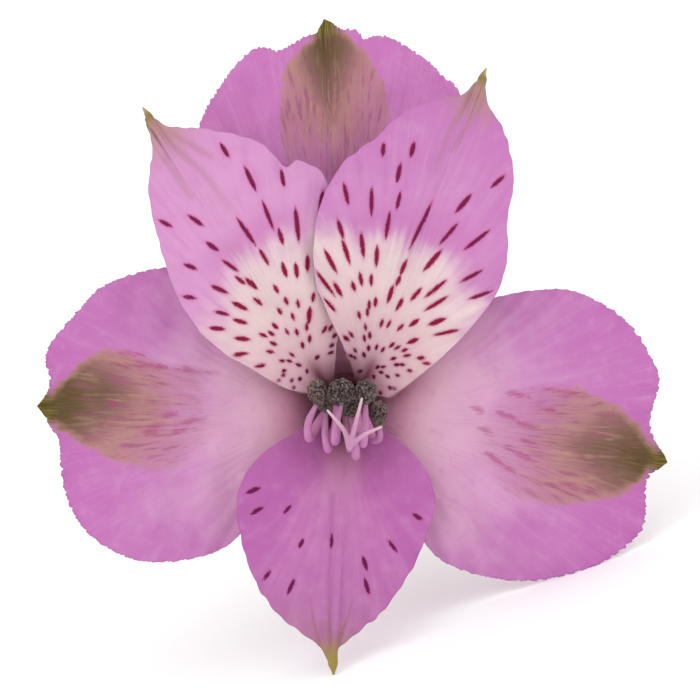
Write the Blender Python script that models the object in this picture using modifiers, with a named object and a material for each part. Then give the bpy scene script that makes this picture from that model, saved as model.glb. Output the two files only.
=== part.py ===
"""One alstroemeria bloom, picked with its pedicel, lying on a flat surface.

Everything is modelled in the bloom's own frame first: X to the bloom's right, Z to its top, and Y going
into the flower, so that the flower's axis is the Y axis and its face looks along -Y. An empty then lays
the whole bloom down on the surface. Sizes are in millimetres, and MM turns them into metres.
"""

import math

import bmesh
import bpy
import numpy as np
from mathutils import Euler, Vector

MM = 0.001

# Driving dimensions.
BLADE = 0.6
GAP = 0.3
OVARY_TOP = 26.0
OVARY_LENGTH = 10.5
OVARY_RIBS = 6
OVARY_RIB_HEIGHT = 0.4
OVARY_PROFILE = ((3.75, 0), (4.05, 1.2), (4.0, 3.8), (3.2, 7.0), (2.1, 9.4), (1.6, OVARY_LENGTH))
PEDICEL_LENGTH = 50.0
PEDICEL_RADIUS = (1.45, 1.25)
PEDICEL_SAG = 2.5
PEDICEL_BOW = 1.2
INNER_RING = 2.2
OUTER_RING = 3.25
STAMEN_RING = 1.2
FILAMENT_RADIUS = 0.45
STYLE_RADIUS = 0.36
ANTHER_GROOVE = 0.25
ANTHER_GRAIN = 0.06
TOOTH = 0.35

# How the bloom lies: its face leans back by LEAN and it has rolled onto its right side by ROLL, both in
# degrees. THROAT_AT is where the middle of its throat then is.
LEAN = 15.49
ROLL = 18.94
THROAT_AT = (-0.48, -36.39, 26.62)

# Each tepal's grid: columns on each side of the midrib, and rows from the claw to the margin.
COLUMNS_A_SIDE = 13
ROWS = 11
TIP_CROWDING = 1.25

# Steps between two knots of a smooth curve, and the points along each piece that follows one.
CURVE_STEPS = 24
SIDE_VIEW_POINTS = 400
FILAMENT_POINTS = 14
STYLE_POINTS = 12
LOBE_POINTS = 7
OVARY_RINGS = 9
OVARY_SIDES_A_RIB = 6
PEDICEL_POINTS = 15

# A tepal's relief fades in from its claw to its limb, between these distances from the axis. Its margin's
# curl and waves fade in over this share of the way from claw to margin. Its keel is this share of the
# grid wide, and teeth keep clear of the tip and the claw by these shares.
LIMB_START = (8, 16)
MARGIN_START = (0.7, 1.05)
KEEL_WIDTH = 0.16
TEETH_SPAN = (0.1, 0.8)

# Side views of a tepal as (distance from the flower's axis, depth) points, from the ovary to the tip.
INNER_CLAW = ((INNER_RING, OVARY_TOP - GAP), (2.6, 19.0), (3.4, 12.0), (4.9, 7.0))
OUTER_CLAW = ((OUTER_RING, OVARY_TOP - GAP), (3.8, 19.0), (4.9, 12.0), (6.6, 7.9))
SIDE_VIEWS = {
    "inner_upper": INNER_CLAW + ((8.0, 3.0), (13.0, -0.4), (20.0, -3.6), (30.0, -6.2), (41.0, -6.4)),
    "inner_lower": INNER_CLAW + ((7.5, 3.9), (11.0, 1.4), (16.0, -0.8), (23.0, -2.4), (31.0, -2.2)),
    "outer_upper": OUTER_CLAW + ((9.5, 5.6), (14.0, 4.0), (22.0, 2.6), (31.0, 2.2), (44.0, 3.2)),
    "outer_side": OUTER_CLAW + ((9.5, 5.6), (14.0, 4.3), (22.0, 3.6), (29.0, 3.7), (37.0, 4.6)),
}

# One entry a tepal. Its claw stands at claw_angle round the ring and is claw_width wide. Its margin
# curls back by curl, its midrib is a groove keel deep or, below 0, a ridge, and its edge has waves of
# (number, height). Overlap is (angle where it starts, angle where it is full, shift in depth), where one
# tepal lies over its neighbour. Left and right are the two sides of its outline from claw to tip, as the
# front view shows them.
TEPALS = {
    "outer_tepal_top": {
        "side_view": "outer_upper",
        "claw_angle": 90,
        "claw_width": 4.4,
        "curl": 1.1,
        "keel": 0.5,
        "wave": (2.5, 0.35),
        "toothed": True,
        "tip": (-2.3, 42.0),
        "left": (
            (-3.0, 5.2), (-5.6, 9.6), (-10.4, 18.0), (-14.8, 25.2), (-16.1, 30.0), (-13.4, 35.2),
            (-10.5, 38.4), (-8.8, 38.9), (-7.2, 38.6), (-4.4, 40.1), (-3.1, 40.5), (-2.7, 41.2),
        ),
        "right": (
            (2.9, 5.2), (5.4, 8.9), (10.6, 17.6), (14.2, 26.0), (12.7, 33.7), (10.8, 35.7),
            (9.3, 37.3), (5.4, 39.8), (3.3, 40.2), (2.1, 39.8), (1.2, 40.8), (-0.4, 40.9),
            (-1.4, 41.6),
        ),
    },
    "outer_tepal_left": {
        "side_view": "outer_side",
        "claw_angle": 210,
        "claw_width": 4.4,
        "curl": 1.3,
        "keel": 0.6,
        "wave": (2.0, 0.45),
        "toothed": True,
        "tip": (-34.0, -0.7),
        "left": (
            (-4.6, -4.2), (-7.0, -8.0), (-10.7, -13.8), (-14.1, -16.7), (-19.5, -17.9),
            (-24.1, -17.4), (-28.4, -14.7), (-30.6, -11.2), (-31.4, -7.4), (-31.6, -4.5),
            (-32.6, -3.0), (-33.1, -1.8),
        ),
        "right": (
            (-5.4, 2.8), (-7.5, 6.0), (-11.0, 10.8), (-15.2, 13.8), (-19.6, 14.6), (-23.4, 13.9),
            (-27.0, 12.4), (-29.2, 10.2), (-32.4, 6.4), (-33.1, 4.3), (-32.6, 2.5), (-33.0, 0.6),
        ),
    },
    "outer_tepal_right": {
        "side_view": "outer_side",
        "claw_angle": -30,
        "claw_width": 4.4,
        "curl": 1.3,
        "keel": 0.6,
        "wave": (2.0, -0.45),
        "toothed": True,
        "tip": (35.6, -6.9),
        "left": (
            (5.6, 2.6), (7.7, 5.2), (11.7, 9.3), (16.6, 11.3), (22.1, 12.2), (26.2, 11.7),
            (31.1, 8.7), (34.0, 4.3), (34.7, 1.8), (33.7, -2.1), (34.2, -4.5), (35.2, -6.0),
        ),
        "right": (
            (4.7, -4.2), (6.1, -9.2), (8.8, -15.8), (12.7, -18.7), (19.9, -20.0), (27.4, -18.4),
            (32.1, -15.2), (33.2, -12.8), (33.2, -10.1), (33.7, -8.2), (34.9, -7.4),
        ),
    },
    "inner_tepal_left": {
        "side_view": "inner_upper",
        "claw_angle": 150,
        "claw_width": 2.0,
        "curl": 0.6,
        "keel": 0.6,
        "wave": (1.5, 0.2),
        "toothed": False,
        "overlap": (112, 99, 0.7),
        "tip": (-22.2, 32.1),
        "left": (
            (-4.6, 0.8), (-6.6, 1.3), (-9.8, 3.1), (-14.8, 6.4), (-18.2, 11.0), (-20.3, 17.1),
            (-21.5, 22.8), (-21.1, 27.2), (-21.4, 29.3),
        ),
        "right": (
            (-1.4, 4.5), (-0.8, 7.2), (-0.4, 11.0), (-0.4, 17.0), (-2.0, 24.0), (-3.6, 25.7),
            (-5.3, 26.3), (-6.6, 25.6), (-9.0, 28.0), (-12.0, 29.1), (-16.0, 29.8), (-18.7, 29.9),
            (-20.5, 30.5),
        ),
    },
    "inner_tepal_right": {
        "side_view": "inner_upper",
        "claw_angle": 30,
        "claw_width": 2.0,
        "curl": 0.6,
        "keel": 0.6,
        "wave": (1.5, -0.2),
        "toothed": False,
        "overlap": (76, 90, -0.7),
        "tip": (15.5, 36.4),
        "left": (
            (0.5, 4.7), (-0.4, 6.6), (-1.8, 9.5), (-3.2, 13.0), (-3.4, 17.8), (-2.5, 22.0),
            (-0.5, 25.6), (1.4, 27.4), (3.2, 28.6), (5.6, 30.9), (7.7, 32.1), (11.5, 33.3),
            (13.0, 33.5), (14.5, 35.0),
        ),
        "right": (
            (4.9, 0.2), (8.0, 2.5), (12.2, 6.2), (16.5, 11.5), (17.8, 15.8), (17.8, 19.8),
            (18.5, 24.4), (17.5, 29.3), (15.8, 32.2), (15.4, 34.1),
        ),
    },
    "inner_tepal_lower": {
        "side_view": "inner_lower",
        "claw_angle": 270,
        "claw_width": 2.0,
        "curl": 1.0,
        "keel": -0.6,
        "wave": (1.5, 0.2),
        "toothed": False,
        "tip": (-1.3, -30.2),
        "left": (
            (4.0, -3.1), (6.8, -5.2), (9.0, -7.9), (9.9, -11.2), (9.2, -14.0), (7.5, -18.3),
            (4.5, -22.8), (3.4, -23.9), (0.6, -26.2), (-0.6, -27.2), (-1.0, -28.1),
        ),
        "right": (
            (-4.4, -3.1), (-8.2, -5.2), (-10.8, -7.9), (-11.9, -11.2), (-11.5, -14.9),
            (-10.1, -19.4), (-7.5, -23.4), (-3.5, -26.5), (-2.4, -27.6),
        ),
    },
}

# One entry a stamen: where its filament starts round the ring, its lowest bend, where it turns up, and
# the middle of its anther, as (x, depth, z), with the anther's half width, half depth and half height.
STAMENS = (
    {"ring_angle": 180, "bend": (-4.0, -3.6, -4.1), "rise": (-4.0, -6.0, -2.4),
     "anther": (-3.1, -7.4, 0.9), "size": (0.95, 0.85, 1.3)},
    {"ring_angle": 240, "bend": (-1.9, -2.6, -5.3), "rise": (-2.2, -4.6, -3.6),
     "anther": (-2.1, -4.9, -0.3), "size": (0.8, 0.75, 0.95)},
    {"ring_angle": 120, "bend": (-1.1, -5.0, -4.4), "rise": (-1.0, -7.0, -2.9),
     "anther": (-0.4, -7.9, 0.9), "size": (1.35, 1.05, 1.4)},
    {"ring_angle": 300, "bend": (1.2, -3.2, -6.1), "rise": (1.1, -5.2, -4.2),
     "anther": (0.6, -5.2, -0.7), "size": (1.05, 0.9, 1.1)},
    {"ring_angle": 60, "bend": (2.0, -4.6, -4.7), "rise": (2.2, -6.6, -3.0),
     "anther": (2.3, -7.6, 0.8), "size": (1.15, 0.95, 1.25)},
    {"ring_angle": 0, "bend": (3.2, -2.4, -4.4), "rise": (3.8, -4.4, -4.1),
     "anther": (3.8, -5.4, -1.4), "size": (0.8, 0.75, 1.3)},
)

STYLE_PATH = (
    (0, OVARY_TOP - GAP, 0), (0, 18, -0.1), (0, 8, -1.7),
    (0.3, 0, -4.0), (0.5, -5.6, -5.3), (0.5, -8.4, -5.2),
)
# The middle and the tip of each of the three lobes that the style parts into.
STIGMA_LOBES = (
    ((-0.1, -9.4, -3.3), (-1.9, -10.2, -1.1)),
    ((1.05, -9.6, -3.0), (1.85, -10.6, 0.2)),
    ((2.0, -9.4, -3.8), (4.0, -9.8, -2.9)),
)

COLOURS = {
    "outer": ((0.56, 0.21, 0.50), 0.55),
    "inner": ((0.66, 0.34, 0.58), 0.55),
    "filament": ((0.55, 0.20, 0.45), 0.45),
    "anther": ((0.09, 0.075, 0.07), 0.9),
    "green": ((0.16, 0.20, 0.05), 0.5),
}


def clear_scene():
    for obj in list(bpy.data.objects):
        bpy.data.objects.remove(obj)


def material(name):
    colour, roughness = COLOURS[name]
    made = bpy.data.materials.new(name)
    made.use_nodes = True
    shader = made.node_tree.nodes["Principled BSDF"]
    shader.inputs["Base Color"].default_value = (*colour, 1)
    shader.inputs["Roughness"].default_value = roughness
    shader.inputs["Metallic"].default_value = 0
    return made


def smoothstep(start, end, value):
    share = np.clip((value - start) / (end - start), 0, 1)
    return share * share * (3 - 2 * share)


def smooth_path(points, count, crowding=1.0):
    """Points on a Catmull-Rom curve through those given, evenly spaced or crowded towards its end."""
    knots = np.array(points, float)
    knots = np.vstack((2 * knots[0] - knots[1], knots, 2 * knots[-1] - knots[-2]))
    fine = []
    for before, start, end, after in zip(knots, knots[1:], knots[2:], knots[3:]):
        for u in np.linspace(0, 1, CURVE_STEPS, endpoint=False):
            fine.append(
                0.5 * (2 * start + (end - before) * u + (2 * before - 5 * start + 4 * end - after) * u**2
                       + (3 * start - before - 3 * end + after) * u**3)
            )
    fine = np.array(fine + [knots[-2]])
    along = np.concatenate(([0], np.cumsum(np.linalg.norm(np.diff(fine, axis=0), axis=1))))
    wanted = along[-1] * (1 - (1 - np.linspace(0, 1, count)) ** crowding)
    return np.stack([np.interp(wanted, along, fine[:, axis]) for axis in range(fine.shape[1])], axis=1)


def margin_points(tepal):
    """The outline from the end of the left side, round the tip, to the end of the right side."""
    left = smooth_path(tepal["left"] + (tepal["tip"],), COLUMNS_A_SIDE + 1, TIP_CROWDING)
    right = smooth_path(tepal["right"] + (tepal["tip"],), COLUMNS_A_SIDE + 1, TIP_CROWDING)
    margin = np.vstack((left, right[-2::-1]))
    if tepal["toothed"]:
        across = np.abs(np.linspace(-1, 1, len(margin)))
        every_other = np.arange(len(margin)) % 2
        inward = TOOTH * every_other * (across > TEETH_SPAN[0]) * (across < TEETH_SPAN[1])
        radius = np.linalg.norm(margin, axis=1)
        margin = margin * ((radius - inward) / radius)[:, None]
    return margin


def tepal_points(tepal):
    """The middle surface of a tepal's blade, as rows of points from the ovary to the margin."""
    margin = margin_points(tepal)
    claw = math.radians(tepal["claw_angle"])
    reach = np.hypot(margin[:, 0], margin[:, 1])
    turn = np.arctan2(margin[:, 1], margin[:, 0]) - claw
    turn = (turn + math.pi) % (2 * math.pi) - math.pi
    across = np.linspace(-1, 1, len(margin)) * np.sign(turn[-1] - turn[0])
    side_view = smooth_path(SIDE_VIEWS[tepal["side_view"]], SIDE_VIEW_POINTS)
    places = np.arange(len(side_view))
    ring = side_view[0, 0]
    ends = np.interp(reach, side_view[:, 0], places)
    tip = len(margin) // 2

    def midrib_turn(radius):
        return turn[tip] * (1 / ring - 1 / radius) / (1 / ring - 1 / reach[tip])

    claw_spread = across * tepal["claw_width"] / 2 / ring
    spread = turn - midrib_turn(reach)
    waves, wave_height = tepal["wave"]
    rows = []
    for share in np.linspace(0, 1, ROWS + 1):
        radius = np.interp(ends * share, places, side_view[:, 0])
        depth = np.interp(ends * share, places, side_view[:, 1])
        fan = (radius - ring) / (reach - ring)
        angle = claw + midrib_turn(radius) + claw_spread + (spread - claw_spread) * fan
        on_limb = smoothstep(*LIMB_START, radius)
        near_margin = smoothstep(*MARGIN_START, share)
        depth = depth + tepal["curl"] * near_margin * on_limb
        depth = depth + wave_height * near_margin * on_limb * np.sin(2 * math.pi * waves * across)
        depth = depth + tepal["keel"] * on_limb * np.exp(-((across / KEEL_WIDTH) ** 2))
        if "overlap" in tepal:
            start, full, shift = tepal["overlap"]
            depth = depth + shift * smoothstep(start, full, np.degrees(angle) % 360)
        rows.append(np.stack((radius * np.cos(angle), depth, radius * np.sin(angle)), axis=1))
    return np.array(rows)


def make_tepal(name, tepal, look, collection):
    """A blade on its grid of points. Each cell is split into triangles, alike on both faces."""
    points = tepal_points(tepal)
    rows, columns = points.shape[:2]
    made = bmesh.new()
    grid = [[made.verts.new(Vector(point) * MM) for point in row] for row in points]
    for r in range(rows - 1):
        for c in range(columns - 1):
            corners = [grid[r][c], grid[r][c + 1], grid[r + 1][c + 1], grid[r + 1][c]]
            if c < columns // 2:
                corners = corners[1:] + corners[:1]
            made.faces.new(corners[:3])
            made.faces.new((corners[0], corners[2], corners[3]))
    mesh = bpy.data.meshes.new(name)
    made.to_mesh(mesh)
    made.free()
    mesh.materials.append(look)
    mesh.shade_smooth()
    obj = bpy.data.objects.new(name, mesh)
    collection.objects.link(obj)
    thicken = obj.modifiers.new("thickness", "SOLIDIFY")
    thicken.thickness = BLADE * MM
    thicken.offset = 0
    return obj


def tube(name, path, radii, look, collection, resolution=2):
    """A round rod along a path, with a radius for each of its points."""
    curve = bpy.data.curves.new(name, "CURVE")
    curve.dimensions = "3D"
    curve.bevel_depth = MM
    curve.bevel_resolution = resolution
    curve.use_fill_caps = True
    spline = curve.splines.new("POLY")
    spline.points.add(len(path) - 1)
    for point, place, radius in zip(spline.points, path, radii):
        point.co = (*(np.array(place) * MM), 1)
        point.radius = radius
    curve.materials.append(look)
    obj = bpy.data.objects.new(name, curve)
    collection.objects.link(obj)
    return obj


def filament_path(stamen):
    """From the ovary out of the throat, down to the bend and up to just under the anther."""
    angle = math.radians(stamen["ring_angle"])
    ring_x = STAMEN_RING * math.cos(angle)
    ring_z = STAMEN_RING * math.sin(angle)
    bend = np.array(stamen["bend"])
    tip = np.array(stamen["anther"]) + (0, 0.1, -(stamen["size"][2] + GAP + 0.1))
    return (
        (ring_x, OVARY_TOP - GAP, ring_z),
        (ring_x * 1.05, 19, ring_z * 1.05 - 0.1),
        (ring_x * 1.1 + bend[0] * 0.1, 12, ring_z * 1.05 - 0.9),
        (ring_x * 0.7 + bend[0] * 0.45, 5, ring_z * 0.8 + bend[2] * 0.5),
        tuple(bend * 0.9 + (0, 2.2, 0)),
        tuple(bend),
        stamen["rise"],
        tuple(tip),
    )


def make_filament(name, stamen, look, collection):
    path = smooth_path(filament_path(stamen), FILAMENT_POINTS)
    swell = np.interp(np.linspace(0, 1, len(path)), (0, 0.5, 0.8, 1), (0.9, 1.0, 1.15, 0.7))
    return tube(name, path, FILAMENT_RADIUS * swell, look, collection)


def make_anther(name, stamen, look, collection):
    """Two pollen lobes side by side, roughened all over by the pollen that they shed."""
    made = bmesh.new()
    bmesh.ops.create_icosphere(made, subdivisions=3, radius=1)
    wide, deep, tall = stamen["size"]
    seed = sum(stamen["anther"])
    for vert in made.verts:
        x, y, z = vert.co
        groove = 1 - ANTHER_GROOVE * math.exp(-((x / 0.28) ** 2))
        grain = 1 + ANTHER_GRAIN * math.sin(9 * x + seed) * math.sin(8 * z - seed) * math.cos(7 * y)
        vert.co = Vector((x * wide, y * deep * groove, z * tall)) * grain * MM
    mesh = bpy.data.meshes.new(name)
    made.to_mesh(mesh)
    made.free()
    mesh.materials.append(look)
    mesh.shade_smooth()
    obj = bpy.data.objects.new(name, mesh)
    obj.location = Vector(stamen["anther"]) * MM
    collection.objects.link(obj)
    return obj


def as_mesh(obj):
    """The object as it is evaluated, as a mesh of the same name with its caps welded on."""
    graph = bpy.context.evaluated_depsgraph_get()
    mesh = bpy.data.meshes.new_from_object(obj.evaluated_get(graph))
    name, collection, place = obj.name, obj.users_collection[0], obj.matrix_world.copy()
    bpy.data.objects.remove(obj)
    made = bmesh.new()
    made.from_mesh(mesh)
    bmesh.ops.remove_doubles(made, verts=made.verts, dist=0.001 * MM)
    made.to_mesh(mesh)
    made.free()
    result = bpy.data.objects.new(name, mesh)
    result.matrix_world = place
    collection.objects.link(result)
    return result


def make_style(look, collection):
    """The style, with three stigma lobes joined to its end."""
    path = smooth_path(STYLE_PATH, STYLE_POINTS)
    style = as_mesh(tube("style", path, [STYLE_RADIUS] * len(path), look, collection))
    lobes = bpy.data.collections.new("stigma lobes")
    bpy.context.scene.collection.children.link(lobes)
    end = Vector(STYLE_PATH[-1])
    for number, (middle, tip) in enumerate(STIGMA_LOBES):
        start = end + Vector((0, 0.35, 0.05 * number))
        lobe_path = smooth_path((tuple(start), middle, tip), LOBE_POINTS)
        radii = np.linspace(STYLE_RADIUS * 1.05, STYLE_RADIUS * 0.4, len(lobe_path))
        as_mesh(tube(f"stigma_lobe_{number + 1}", lobe_path, radii, look, lobes))
    join = style.modifiers.new("lobes", "BOOLEAN")
    join.operation = "UNION"
    join.operand_type = "COLLECTION"
    join.collection = lobes
    as_mesh(style)
    for lobe in list(lobes.objects):
        bpy.data.objects.remove(lobe)
    bpy.data.collections.remove(lobes)
    return collection.objects["style"]


def make_ovary(look, collection):
    """A top-shaped ovary, with a rib below each tepal."""
    profile = smooth_path(OVARY_PROFILE, OVARY_RINGS)
    sides = OVARY_RIBS * OVARY_SIDES_A_RIB
    made = bmesh.new()
    rings = []
    for radius, along in profile:
        rib = OVARY_RIB_HEIGHT * smoothstep(0, 1.5, along) * smoothstep(0, 3, OVARY_LENGTH - along)
        ring = []
        for side in range(sides):
            angle = 2 * math.pi * side / sides
            out = radius - rib * (1 - math.cos(OVARY_RIBS * (angle - math.pi / 6))) / 2
            place = Vector((out * math.cos(angle), OVARY_TOP + along, out * math.sin(angle)))
            ring.append(made.verts.new(place * MM))
        rings.append(ring)
    for near, far in zip(rings, rings[1:]):
        for side in range(sides):
            after = (side + 1) % sides
            made.faces.new((near[side], near[after], far[after], far[side]))
    made.faces.new(rings[0])
    made.faces.new(rings[-1])
    bmesh.ops.recalc_face_normals(made, faces=made.faces)
    mesh = bpy.data.meshes.new("ovary")
    made.to_mesh(mesh)
    made.free()
    mesh.materials.append(look)
    mesh.shade_smooth()
    mesh.set_sharp_from_angle(angle=math.radians(50))
    obj = bpy.data.objects.new("ovary", mesh)
    collection.objects.link(obj)
    return obj


def make_pedicel(look, collection):
    """The flower's stalk, which bends down a little towards its square-cut end."""
    start = OVARY_TOP + OVARY_LENGTH + GAP
    share = np.linspace(0, 1, PEDICEL_POINTS)
    bow = PEDICEL_BOW * np.sin(math.pi * share)
    path = np.stack((bow, start + PEDICEL_LENGTH * share, -PEDICEL_SAG * share**2), axis=1)
    radii = np.linspace(*PEDICEL_RADIUS, len(path))
    return tube("pedicel", path, radii, look, collection, resolution=4)


def lay_down(pieces):
    """Rolls the bloom about its own axis, leans its face back, and puts it on the surface."""
    bloom = bpy.data.objects.new("bloom", None)
    bpy.context.scene.collection.objects.link(bloom)
    for piece in pieces:
        piece.parent = bloom
    lean = Euler((math.radians(-LEAN), 0, 0)).to_matrix()
    roll = Euler((0, math.radians(ROLL), 0)).to_matrix()
    bloom.rotation_euler = (lean @ roll).to_euler()
    bloom.location = Vector(THROAT_AT) * MM


def main():
    clear_scene()
    flower = bpy.data.collections.new("alstroemeria bloom")
    bpy.context.scene.collection.children.link(flower)
    looks = {name: material(name) for name in COLOURS}
    for name, tepal in TEPALS.items():
        make_tepal(name, tepal, looks[name.split("_")[0]], flower)
    for number, stamen in enumerate(STAMENS, start=1):
        make_filament(f"filament_{number}", stamen, looks["filament"], flower)
        make_anther(f"anther_{number}", stamen, looks["anther"], flower)
    make_style(looks["filament"], flower)
    make_ovary(looks["green"], flower)
    make_pedicel(looks["green"], flower)
    lay_down(flower.objects)


main()
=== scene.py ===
"""The looks of one alstroemeria bloom, picked with its pedicel and lying on a pale surface.

Each piece is modelled in the bloom's own frame, in millimetres: X to the bloom's right, Z to its top, and
Y going into the flower, so that its face looks along -Y. It keeps the outline, the side view and the path
of the solid that it stands for, and adds the finer forms and the markings.
"""

import math

import bmesh
import bpy
import numpy as np
from mathutils import Euler, Matrix, Vector


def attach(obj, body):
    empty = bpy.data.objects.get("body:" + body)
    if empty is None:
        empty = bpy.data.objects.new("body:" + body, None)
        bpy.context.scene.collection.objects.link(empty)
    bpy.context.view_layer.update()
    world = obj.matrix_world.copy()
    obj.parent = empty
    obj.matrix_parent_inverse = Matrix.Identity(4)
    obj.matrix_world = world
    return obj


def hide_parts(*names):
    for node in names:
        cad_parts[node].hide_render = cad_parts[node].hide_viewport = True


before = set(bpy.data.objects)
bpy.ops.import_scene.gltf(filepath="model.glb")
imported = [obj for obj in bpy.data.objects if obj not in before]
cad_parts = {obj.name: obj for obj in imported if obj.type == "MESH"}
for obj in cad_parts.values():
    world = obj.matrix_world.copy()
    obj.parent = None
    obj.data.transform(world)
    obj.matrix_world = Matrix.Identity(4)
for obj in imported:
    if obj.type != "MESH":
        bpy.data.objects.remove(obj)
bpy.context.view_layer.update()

MM = 0.001

# How the bloom lies, in degrees, and where the middle of its throat then is.
LEAN = 15.49
ROLL = 18.94
THROAT_AT = (-0.48, -36.39, 26.62)

# The sizes that the solids share. JOIN is how far into the ovary the visible claws, filaments and style
# start, where the solids keep a gap.
GAP = 0.3
JOIN = 0.1
OVARY_TOP = 26.0
OVARY_LENGTH = 10.5
OVARY_RIBS = 6
OVARY_RIB_HEIGHT = 0.4
OVARY_PROFILE = ((3.75, 0), (4.05, 1.2), (4.0, 3.8), (3.2, 7.0), (2.1, 9.4), (1.6, OVARY_LENGTH))
PEDICEL_LENGTH = 50.0
PEDICEL_RADIUS = (1.45, 1.25)
PEDICEL_SAG = 2.5
PEDICEL_BOW = 1.2
INNER_RING = 2.2
OUTER_RING = 3.25
STAMEN_RING = 1.2
FILAMENT_RADIUS = 0.45
STYLE_RADIUS = 0.36
TIP_CROWDING = 1.25
CURVE_STEPS = 24
SIDE_VIEW_POINTS = 400

# Relief fades in from the claw to the limb between these distances from the axis, and curl and waves
# over this share of the way from claw to margin. A keel is this share of the blade wide.
LIMB_START = (8, 16)
MARGIN_START = (0.7, 1.05)
KEEL_WIDTH = 0.16

# How wide the claw of each kind of blade is, and how fine the blade: columns, rows on the claw and on the
# limb, and how many of the front's rows and columns the back has one for. The claw takes this share of the
# blade's length, and distances from the margin are measured to at least this many pieces of it.
KINDS = {
    "outer": {"claw_width": 4.4, "columns": 380, "claw_rows": 18, "limb_rows": 90, "back_steps": (3, 1)},
    "upper": {"claw_width": 2.0, "columns": 260, "claw_rows": 24, "limb_rows": 176, "back_steps": (2, 2)},
    "lower": {"claw_width": 2.0, "columns": 220, "claw_rows": 24, "limb_rows": 126, "back_steps": (2, 2)},
}
CLAW_SHARE = 0.34
EDGE_PIECES = 90

# Thickness of a blade at its margin, over its limb, at its midrib or claw, and of its pointed tip.
MARGIN_THICKNESS = 0.2
LIMB_THICKNESS = 0.4
RIB_THICKNESS = 0.6
TIP_THICKNESS = 0.95
TIP_LENGTH = 3.2

# Relief finer than the solids have: veins, hollows and frilled margins. A tooth draws the margin of an
# outer tepal in by up to this much, over slower waves, and an inner tepal's margin has only slow nibbles.
# Both lie within this span of the margin, which runs from the tip, at 0, to the claw, at 1.
VEIN_SPACING = 2.6
VEIN_HEIGHT = 0.018
HOLLOW_SIZE = 7.0
HOLLOW_HEIGHT = 0.16
FRILL_SIZE = 4.4
FRILL_HEIGHT = 0.18
TOOTH = 0.16
TOOTH_WAVE = 0.1
TOOTH_PITCH = 1.1
NIBBLE = 0.07
NIBBLE_PITCH = 2.4
TEETH_SPAN = (0.05, 0.86)

INNER_CLAW = ((INNER_RING, OVARY_TOP + JOIN), (2.6, 19.0), (3.4, 12.0), (4.9, 7.0))
OUTER_CLAW = ((OUTER_RING, OVARY_TOP + JOIN), (3.8, 19.0), (4.9, 12.0), (6.6, 7.9))
SIDE_VIEWS = {
    "inner_upper": INNER_CLAW + ((8.0, 3.0), (13.0, -0.4), (20.0, -3.6), (30.0, -6.2), (41.0, -6.4)),
    "inner_lower": INNER_CLAW + ((7.5, 3.9), (11.0, 1.4), (16.0, -0.8), (23.0, -2.4), (31.0, -2.2)),
    "outer_upper": OUTER_CLAW + ((9.5, 5.6), (14.0, 4.0), (22.0, 2.6), (31.0, 2.2), (44.0, 3.2)),
    "outer_side": OUTER_CLAW + ((9.5, 5.6), (14.0, 4.3), (22.0, 3.6), (29.0, 3.7), (37.0, 4.6)),
}

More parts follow.
